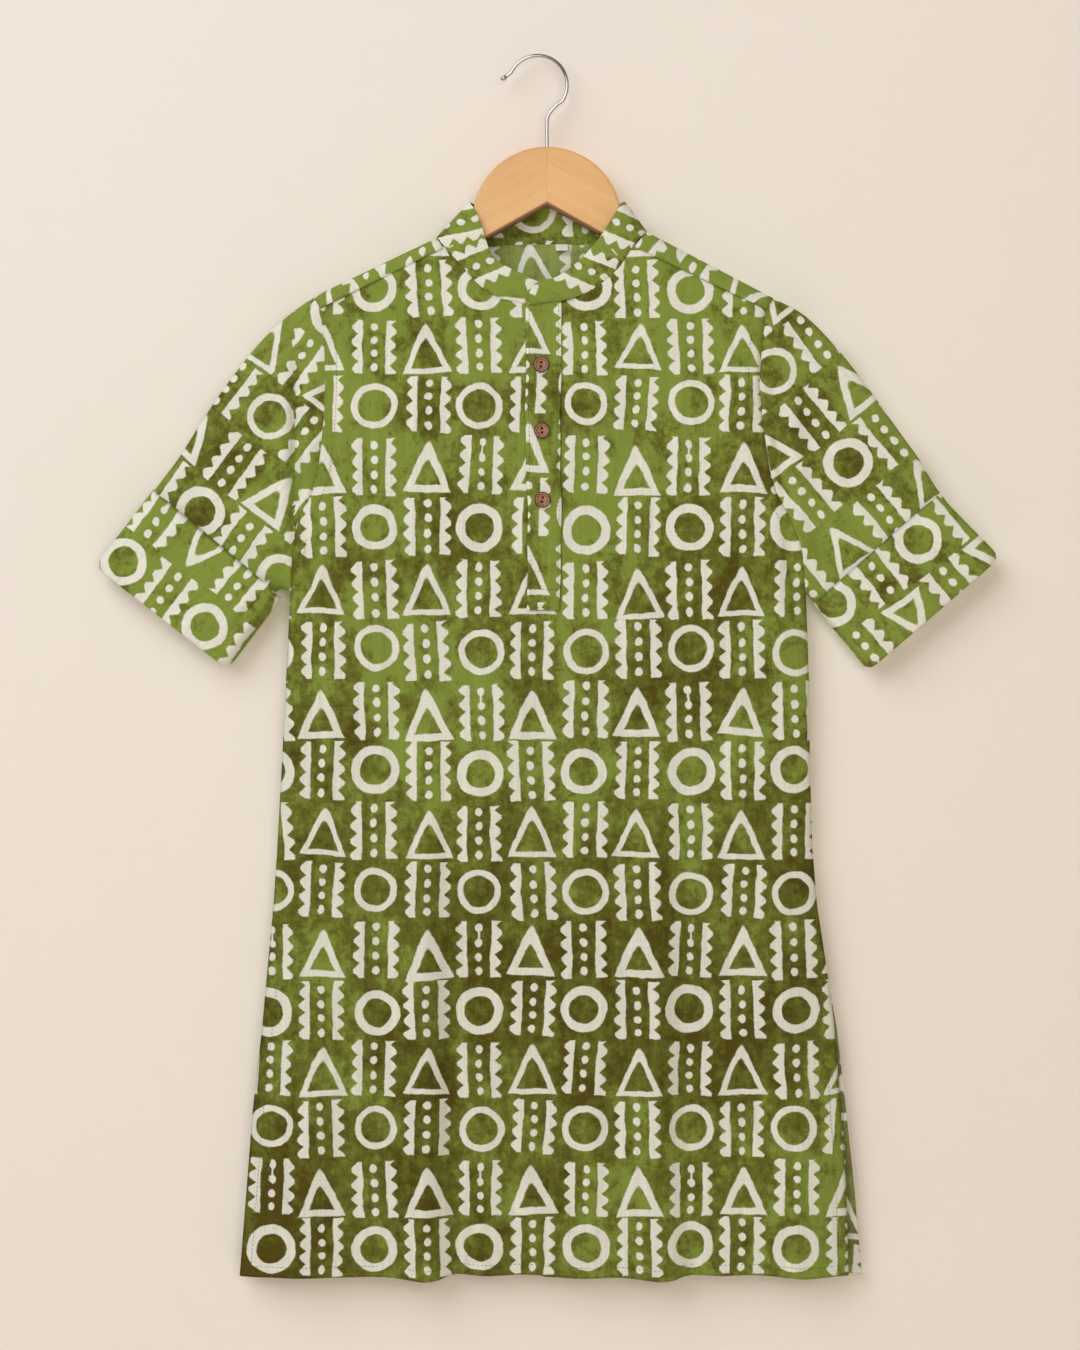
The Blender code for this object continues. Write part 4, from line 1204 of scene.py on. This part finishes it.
for number, (x, z, tilt) in enumerate(BUTTONS, 1):
    back_y = -body_depth("front", 0.0, z) - BUTTON_STAND
    bm = bmesh.new()
    corners = [bm.verts.new((radius, 0, -depth)) for radius, depth in RIM]
    rim = [bm.edges.new(pair) for pair in zip(corners, corners[1:])]
    turn = {"cent": (0, 0, 0), "axis": (0, 0, 1), "angle": math.tau}
    bmesh.ops.spin(bm, geom=corners + rim, steps=40, use_merge=True, **turn)
    bmesh.ops.remove_doubles(bm, verts=bm.verts, dist=0.01)
    back_edges = [e for e in bm.edges if e.is_boundary and e.verts[0].co.z < -2]
    bmesh.ops.holes_fill(bm, edges=back_edges, sides=0)
    for sign in (-1, 1):
        hole = Matrix.Translation((0, sign * HOLE_PITCH / 2, -0.8))
        bmesh.ops.create_circle(bm, cap_ends=False, segments=14, radius=HOLE_RADIUS, matrix=hole)
    dish = [e for e in bm.edges if not e.link_faces or (e.is_boundary and e.verts[0].co.z > -1)]
    bmesh.ops.triangle_fill(bm, use_beauty=True, use_dissolve=False, edges=dish)
    lips = [e for e in bm.edges if e.is_boundary]
    for depth in (0.12, 1.3):
        grown = bmesh.ops.extrude_edge_only(bm, edges=lips)["geom"]
        lips = [g for g in grown if isinstance(g, bmesh.types.BMEdge)]
        moved = [g for g in grown if isinstance(g, bmesh.types.BMVert)]
        bmesh.ops.translate(bm, verts=moved, vec=(0, 0, -depth))
    bmesh.ops.holes_fill(bm, edges=lips, sides=0)
    for vert in bm.verts:
        vert.co.z += 0.05 * noise.noise(vert.co * 0.8 + Vector((number * 9, 0, 0)))
    layer = bm.loops.layers.uv.new("turned")
    for loop in (loop for face in bm.faces for loop in face.loops):
        loop[layer].uv = loop.vert.co.xy / 10
    # The button faces the front, with a small tilt from its thread.
    stand = Matrix.Translation(Vector((x + HANGER_X, back_y - BUTTON_THICK, z)) * MM)
    stand = stand @ Matrix.Rotation(math.radians(tilt), 4, "Y")
    stand = stand @ Matrix.Rotation(math.pi / 2, 4, "X") @ Matrix.Scale(MM, 4)
    bmesh.ops.transform(bm, verts=bm.verts, matrix=stand)
    button = hard_piece(bm, f"button_{number}_shell", shell_brown)
    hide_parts(f"button_{number}")

    bm = bmesh.new()
    for sign in (-1, 1):
        plug = Matrix.Translation((0, sign * HOLE_PITCH / 2, -1.55)) @ Matrix.Diagonal((0.74, 0.74, 0.5, 1))
        bmesh.ops.create_icosphere(bm, subdivisions=2, radius=1, matrix=plug)
    shank = Matrix.Translation((0, 0, -BUTTON_THICK - 0.45))
    bmesh.ops.create_cone(bm, cap_ends=True, segments=16, radius1=1.5, radius2=1.3, depth=1.6, matrix=shank)
    bmesh.ops.transform(bm, verts=bm.verts, matrix=stand)
    sewn = hard_piece(bm, f"button_{number}_thread", thread_brown)

# --- the stitching -------------------------------------------------------------------------------
# Green cotton thread: a hem seam round the foot and up both slits, a row beside each armhole, and
# the placket's edges with the box across its foot. Each stitch pulls into the cloth.
thread, tree, shader = new_material("green_thread")
at = node(tree, "ShaderNodeTexCoord", {}, {}, "Object")
twist = noisy(tree, at, 900.0)
colour = blended(tree, twist, (0.062, 0.070, 0.016, 1.0), (0.135, 0.150, 0.036, 1.0))
finish_with(tree, shader, Base_Color=colour, Roughness=0.7 + twist * 0.2)
STITCH_LONG, STITCH_PITCH, THREAD_RADIUS = 2.3, 3.0, 0.21
ARMHOLE_STITCHING = 8.4  # in from the seam
BOX_HEIGHTS = (-370.6, -383.6, -396.8)  # the rows across the placket's foot


def stitched(name, lines):
    """Runs of stitches along lines of points."""
    bm = bmesh.new()
    for line in lines:
        line = [Vector(p) for p in line]
        gone = 0.0
        for a, b in zip(line, line[1:]):
            step = (b - a).length
            while gone < step:
                middle = mix(a, b, gone / step)
                turned = (b - a).to_track_quat("X", "Z").to_matrix().to_4x4()
                place = Matrix.Translation(middle + Vector((HANGER_X, 0, 0))) @ turned
                shape = Matrix.Diagonal((STITCH_LONG / 2, THREAD_RADIUS, THREAD_RADIUS, 1))
                bmesh.ops.create_icosphere(bm, subdivisions=1, radius=1, matrix=place @ shape)
                gone += STITCH_PITCH
            gone -= step
    bmesh.ops.scale(bm, verts=bm.verts, vec=(MM, MM, MM))
    piece(bm, name, thread)


def on_body(face, x, z):
    depth = body_depth(face, x, z) + WALL / 2 + 0.04
    return x, -depth if face == "front" else depth, z


def evenly(first, last, count):
    return [mix(first, last, k / count) for k in range(count + 1)]


for face in ("front", "back"):
    low, high = side_edges(face, HEM_Z)
    hem = [on_body(face, x, hem_z(face, x) + HEM_STITCHING) for x in evenly(low + 7, high - 7, 90)]
    lines = [hem]
    for side, sign in ((0, 1), (1, -1)):
        up_slit = evenly(HEM_Z + HEM_STITCHING, SLIT_TOP_Z + 3, 44)
        lines.append([on_body(face, side_edges(face, z)[side] + sign * HEM_STITCHING, z) for z in up_slit])
        up_armhole = evenly(-366.0, -200.0, 40)
        beside = [side_edges(face, z)[side] + sign * ARMHOLE_STITCHING for z in up_armhole]
        lines.append([on_body(face, x, z) for x, z in zip(beside, up_armhole)])
    stitched(f"{face}_stitching", lines)

lines = []
left, right = 1.0, PLACKET_COLUMNS - 0.8
for column in (left, right):
    lines.append([on_top(column, row) for row in evenly(4.0, PLACKET_ROWS - 1.0, 74)])
for height in BOX_HEIGHTS:
    row = PLACKET_ROWS * (height - OVER_PLACKET[1][2]) / (OVER_PLACKET[0][2] - OVER_PLACKET[1][2])
    lines.append([on_top(column, row) for column in evenly(left, right, 8)])
lines = [[(x, y - PLACKET_WALL / 2 - 0.05, z) for x, y, z in line] for line in lines]
stitched("placket_stitching", lines)

# --- the hanger ----------------------------------------------------------------------------------
# Two mirrored halves of oiled beech, glued at the middle with the grain running down each arm, and
# all long edges eased.
WOOD_THICK = 10.0
HUMP_RADIUS, HUMP_TOP_Z = 54.0, -64.0
ARM_TIP_X = 150.0
ARM_TOP = ((58.0, -124.0), (62.0, -130.6), (80.0, -136.4), (146.0, -168.6))
ARM_FOOT = ((143.0, -185.6), (50.0, -134.4), (0.0, -106.6))
FOOT_SLOPE = 0.556
GLUE_LINE = 0.12


def beech(name, lean):
    made, tree, shader = new_material(name)
    at = node(tree, "ShaderNodeTexCoord", {}, {}, "Object")
    lain = stretched(tree, at, 1.0, 1.0, 1.0, Rotation=(0.0, lean, 0.0))
    lines = noisy(tree, stretched(tree, lain, 7.0, 60.0, 150.0), 1.0, 4.0, 0.6)
    bands = noisy(tree, stretched(tree, lain, 3.0, 14.0, 26.0), 1.0)
    flecks = noisy(tree, stretched(tree, lain, 150.0, 500.0, 1300.0), 1.0, 1.0)
    fleck = ((flecks - 0.66) * 8).clamped()
    share = ((lines - 0.5) * 1.5 + (bands - 0.5) * 1.3 + 0.5).clamped()
    colour = blended(tree, share, (0.80, 0.485, 0.205, 1.0), (0.65, 0.345, 0.118, 1.0))
    colour = blended(tree, fleck * 0.35, colour, (0.50, 0.255, 0.090, 1.0))
    # Painted shade: the colour darkens to deep brown along each arm's lower edge, as if the underside were in
    # shadow.
    x, z = (node(tree, "ShaderNodeSeparateXYZ", {}, {0: at}, k) for k in (0, 2))
    above_foot = z / MM - ARM_FOOT[-1][1] + abs(x / MM - HANGER_X) * FOOT_SLOPE
    edge = (2.7 - above_foot / 1.3).clamped()
    colour = blended(tree, edge * 0.9, colour, (0.150, 0.052, 0.016, 1.0))
    bump = bumps(tree, lines + flecks, 0.12, 0.3)
    finish_with(tree, shader, Base_Color=colour, Roughness=0.36 + lines * 0.12, Normal=bump)
    finish_with(tree, shader, Coat_Weight=0.25, Coat_Roughness=0.3)
    return made


for side, out in (("left", -1), ("right", 1)):
    hump_z = HUMP_TOP_Z - HUMP_RADIUS
    turns = evenly(math.acos(GLUE_LINE / 2 / HUMP_RADIUS), math.radians(8), 34)
    outline = [(HUMP_RADIUS * math.cos(t), hump_z + HUMP_RADIUS * math.sin(t)) for t in turns]
    outline += [on_line(ARM_TOP, share) for share in evenly(0.02, 1.0, 16)]
    tip = ((ARM_TOP[-1][1] + ARM_FOOT[0][1]) / 2, (ARM_TOP[-1][1] - ARM_FOOT[0][1]) / 2)
    for turn in evenly(math.radians(72), math.radians(-72), 8):
        outline.append((mix(143.0, ARM_TIP_X, math.cos(turn)), tip[0] + tip[1] * math.sin(turn)))
    outline += [*ARM_FOOT[:-1], (GLUE_LINE / 2, ARM_FOOT[-1][1])]
    bm = bmesh.new()
    verts = [bm.verts.new(Vector((out * x + HANGER_X, -WOOD_THICK / 2, z)) * MM) for x, z in outline]
    face = bm.faces.new(verts)
    grown = bmesh.ops.extrude_face_region(bm, geom=[face])["geom"]
    moved = [g for g in grown if isinstance(g, bmesh.types.BMVert)]
    bmesh.ops.translate(bm, verts=moved, vec=Vector((0, WOOD_THICK, 0)) * MM)
    bmesh.ops.recalc_face_normals(bm, faces=bm.faces)
    joint = HANGER_X * MM
    eased = [
        e
        for e in bm.edges
        if abs(e.verts[0].co.y - e.verts[1].co.y) < 1e-6
        and not all(abs(v.co.x - joint) < GLUE_LINE * MM for v in e.verts)
    ]
    ease_by = {"offset": 2.2 * MM, "offset_type": "OFFSET", "segments": 4, "profile": 0.5}
    bmesh.ops.bevel(bm, geom=eased, affect="EDGES", material=-1, **ease_by)
    arm = hard_piece(bm, f"hanger_arm_{side}_wood", beech(f"beech_{side}", -out * math.radians(27)))
    arm.data.set_sharp_from_angle(angle=math.radians(40))
    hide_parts(f"hanger_arm_{side}")

# --- the hook ------------------------------------------------------------------------------------
# A round of bright nickel-plated wire, screwed into the crown of the hanger, with a flared tip that
# ends in a small ball.
WIRE_RADIUS, HOOK_RADIUS, SHANK_DEPTH = 1.3, 21.2, 14.0
round_x, round_z = -HANGER_X, 2.4 - HOOK_RADIUS
path = [(round_x - 26.6, round_z + 3.6), (round_x - 24.0, round_z + 5.2), (round_x - 21.2, round_z + 7.4)]
for turn in evenly(math.radians(154.0), math.radians(-34.0), 20):
    path.append((round_x + HOOK_RADIUS * math.cos(turn), round_z + HOOK_RADIUS * math.sin(turn)))
path += [(7.0, -33.2), (2.4, -38.4), (0.4, -42.4), (0.0, -47.0), (0.0, HUMP_TOP_Z)]
path.append((0.0, HUMP_TOP_Z - SHANK_DEPTH))
wire = bpy.data.curves.new("hanger_hook_wire", "CURVE")
wire.dimensions = "3D"
wire.bevel_depth = WIRE_RADIUS * MM
wire.bevel_resolution = 6
wire.use_fill_caps = True
line = wire.splines.new("POLY")
POINTS = 150
line.points.add(POINTS - 1)
for k, point in enumerate(line.points):
    x, z = on_line(path, k / (POINTS - 1))
    point.co = (*(Vector((x + HANGER_X, 0, z)) * MM), 1.0)
    point.radius = 1 + 0.42 * math.exp(-(((k - 2.6) / 1.7) ** 2)) - 0.75 * math.exp(-((k / 0.9) ** 2))
nickel, tree, shader = new_material("bright_nickel")
at = node(tree, "ShaderNodeTexCoord", {}, {}, "Object")
drawn = noisy(tree, at, 420.0)
colour = blended(tree, drawn, (0.50, 0.48, 0.47, 1.0), (0.40, 0.385, 0.38, 1.0))
bump = bumps(tree, drawn, 0.02, 0.1)
finish_with(tree, shader, Base_Color=colour, Roughness=0.07 + drawn * 0.08, Normal=bump, Metallic=1.0)
hook = put("hanger_hook_wire", wire, nickel)
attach(hook, "root")
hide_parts("hanger_hook")

# --- the stage -----------------------------------------------------------------------------------
# A cream wall straight behind, a pale floor well below the hem, and a soft light from the upper
# left. Seen from behind, the wall is clear, so that the back shows.
middle = Vector((1.6, 0.0, -445.2)) * MM
behind_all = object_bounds()[1][1] + 1.5 * MM
BOARD_WIDE = 7.0
scene = bpy.context.scene


def board(name, place, material):
    bm = bmesh.new()
    bmesh.ops.create_grid(bm, x_segments=1, y_segments=1, size=BOARD_WIDE / 2, matrix=place)
    mesh = bpy.data.meshes.new(name)
    bm.to_mesh(mesh)
    bm.free()
    made = put(name, mesh, material)
    return made


cream, tree, shader = new_material("cream_wall")
finish_with(tree, shader, Base_Color=(0.84, 0.786, 0.735, 1.0), Roughness=0.95, Specular_IOR_Level=0.1)
behind = node(tree, "ShaderNodeNewGeometry", {}, {}, "Backfacing")
clear = node(tree, "ShaderNodeBsdfTransparent", {}, {})
painted = Wire(tree.nodes["Principled BSDF"].outputs[0])
shown = node(tree, "ShaderNodeMixShader", {}, {0: behind, 1: painted, 2: clear})
tree.links.new(shown.socket, tree.nodes["Material Output"].inputs["Surface"])
upright = Matrix.Translation((0, behind_all, -0.4)) @ Matrix.Rotation(math.pi / 2, 4, "X")
wall = board("wall", upright, cream)
wall.visible_shadow = False

pale, tree, shader = new_material("pale_floor")
finish_with(tree, shader, Base_Color=(0.82, 0.76, 0.69, 1.0), Roughness=0.9)
board("floor", Matrix.Translation((0, 0, -1.5)), pale)

camera_data = bpy.data.cameras.new("camera")
camera_data.sensor_width = 36.0
camera_data.lens = 85.0
camera = put("camera", camera_data)
camera.location = middle + Vector((0, -2.303, 0))
camera.rotation_euler = (math.pi / 2, 0, 0)
scene.camera = camera

LIGHTS = (
    # name, where from the middle of the kurta, width, power, colour
    ("key", (-1.5, -2.25, 1.75), 3.0, 68.5, (0.90, 0.955, 0.98)),
    ("fill", (0.6, -3.0, 0.3), 1.6, 21.5, (1.0, 0.895, 0.77)),
    ("back_fill", (0.8, 2.4, 0.9), 1.6, 44.0, (1.0, 0.97, 0.94)),
)
for name, away, width, power, colour in LIGHTS:
    light = bpy.data.lights.new(name, "AREA")
    light.shape = "DISK"
    light.size = width
    light.energy = power
    light.color = colour
    lamp = put(name, light)
    lamp.location = middle + Vector(away)
    lamp.rotation_euler = (-Vector(away)).to_track_quat("-Z", "Y").to_euler()
world = bpy.data.worlds.new("studio")
scene.world = world
world.use_nodes = True
glow = world.node_tree.nodes["Background"].inputs
glow["Color"].default_value = (0.92, 0.765, 0.62, 1.0)
glow["Strength"].default_value = 0.29
scene.view_settings.view_transform = "Standard"
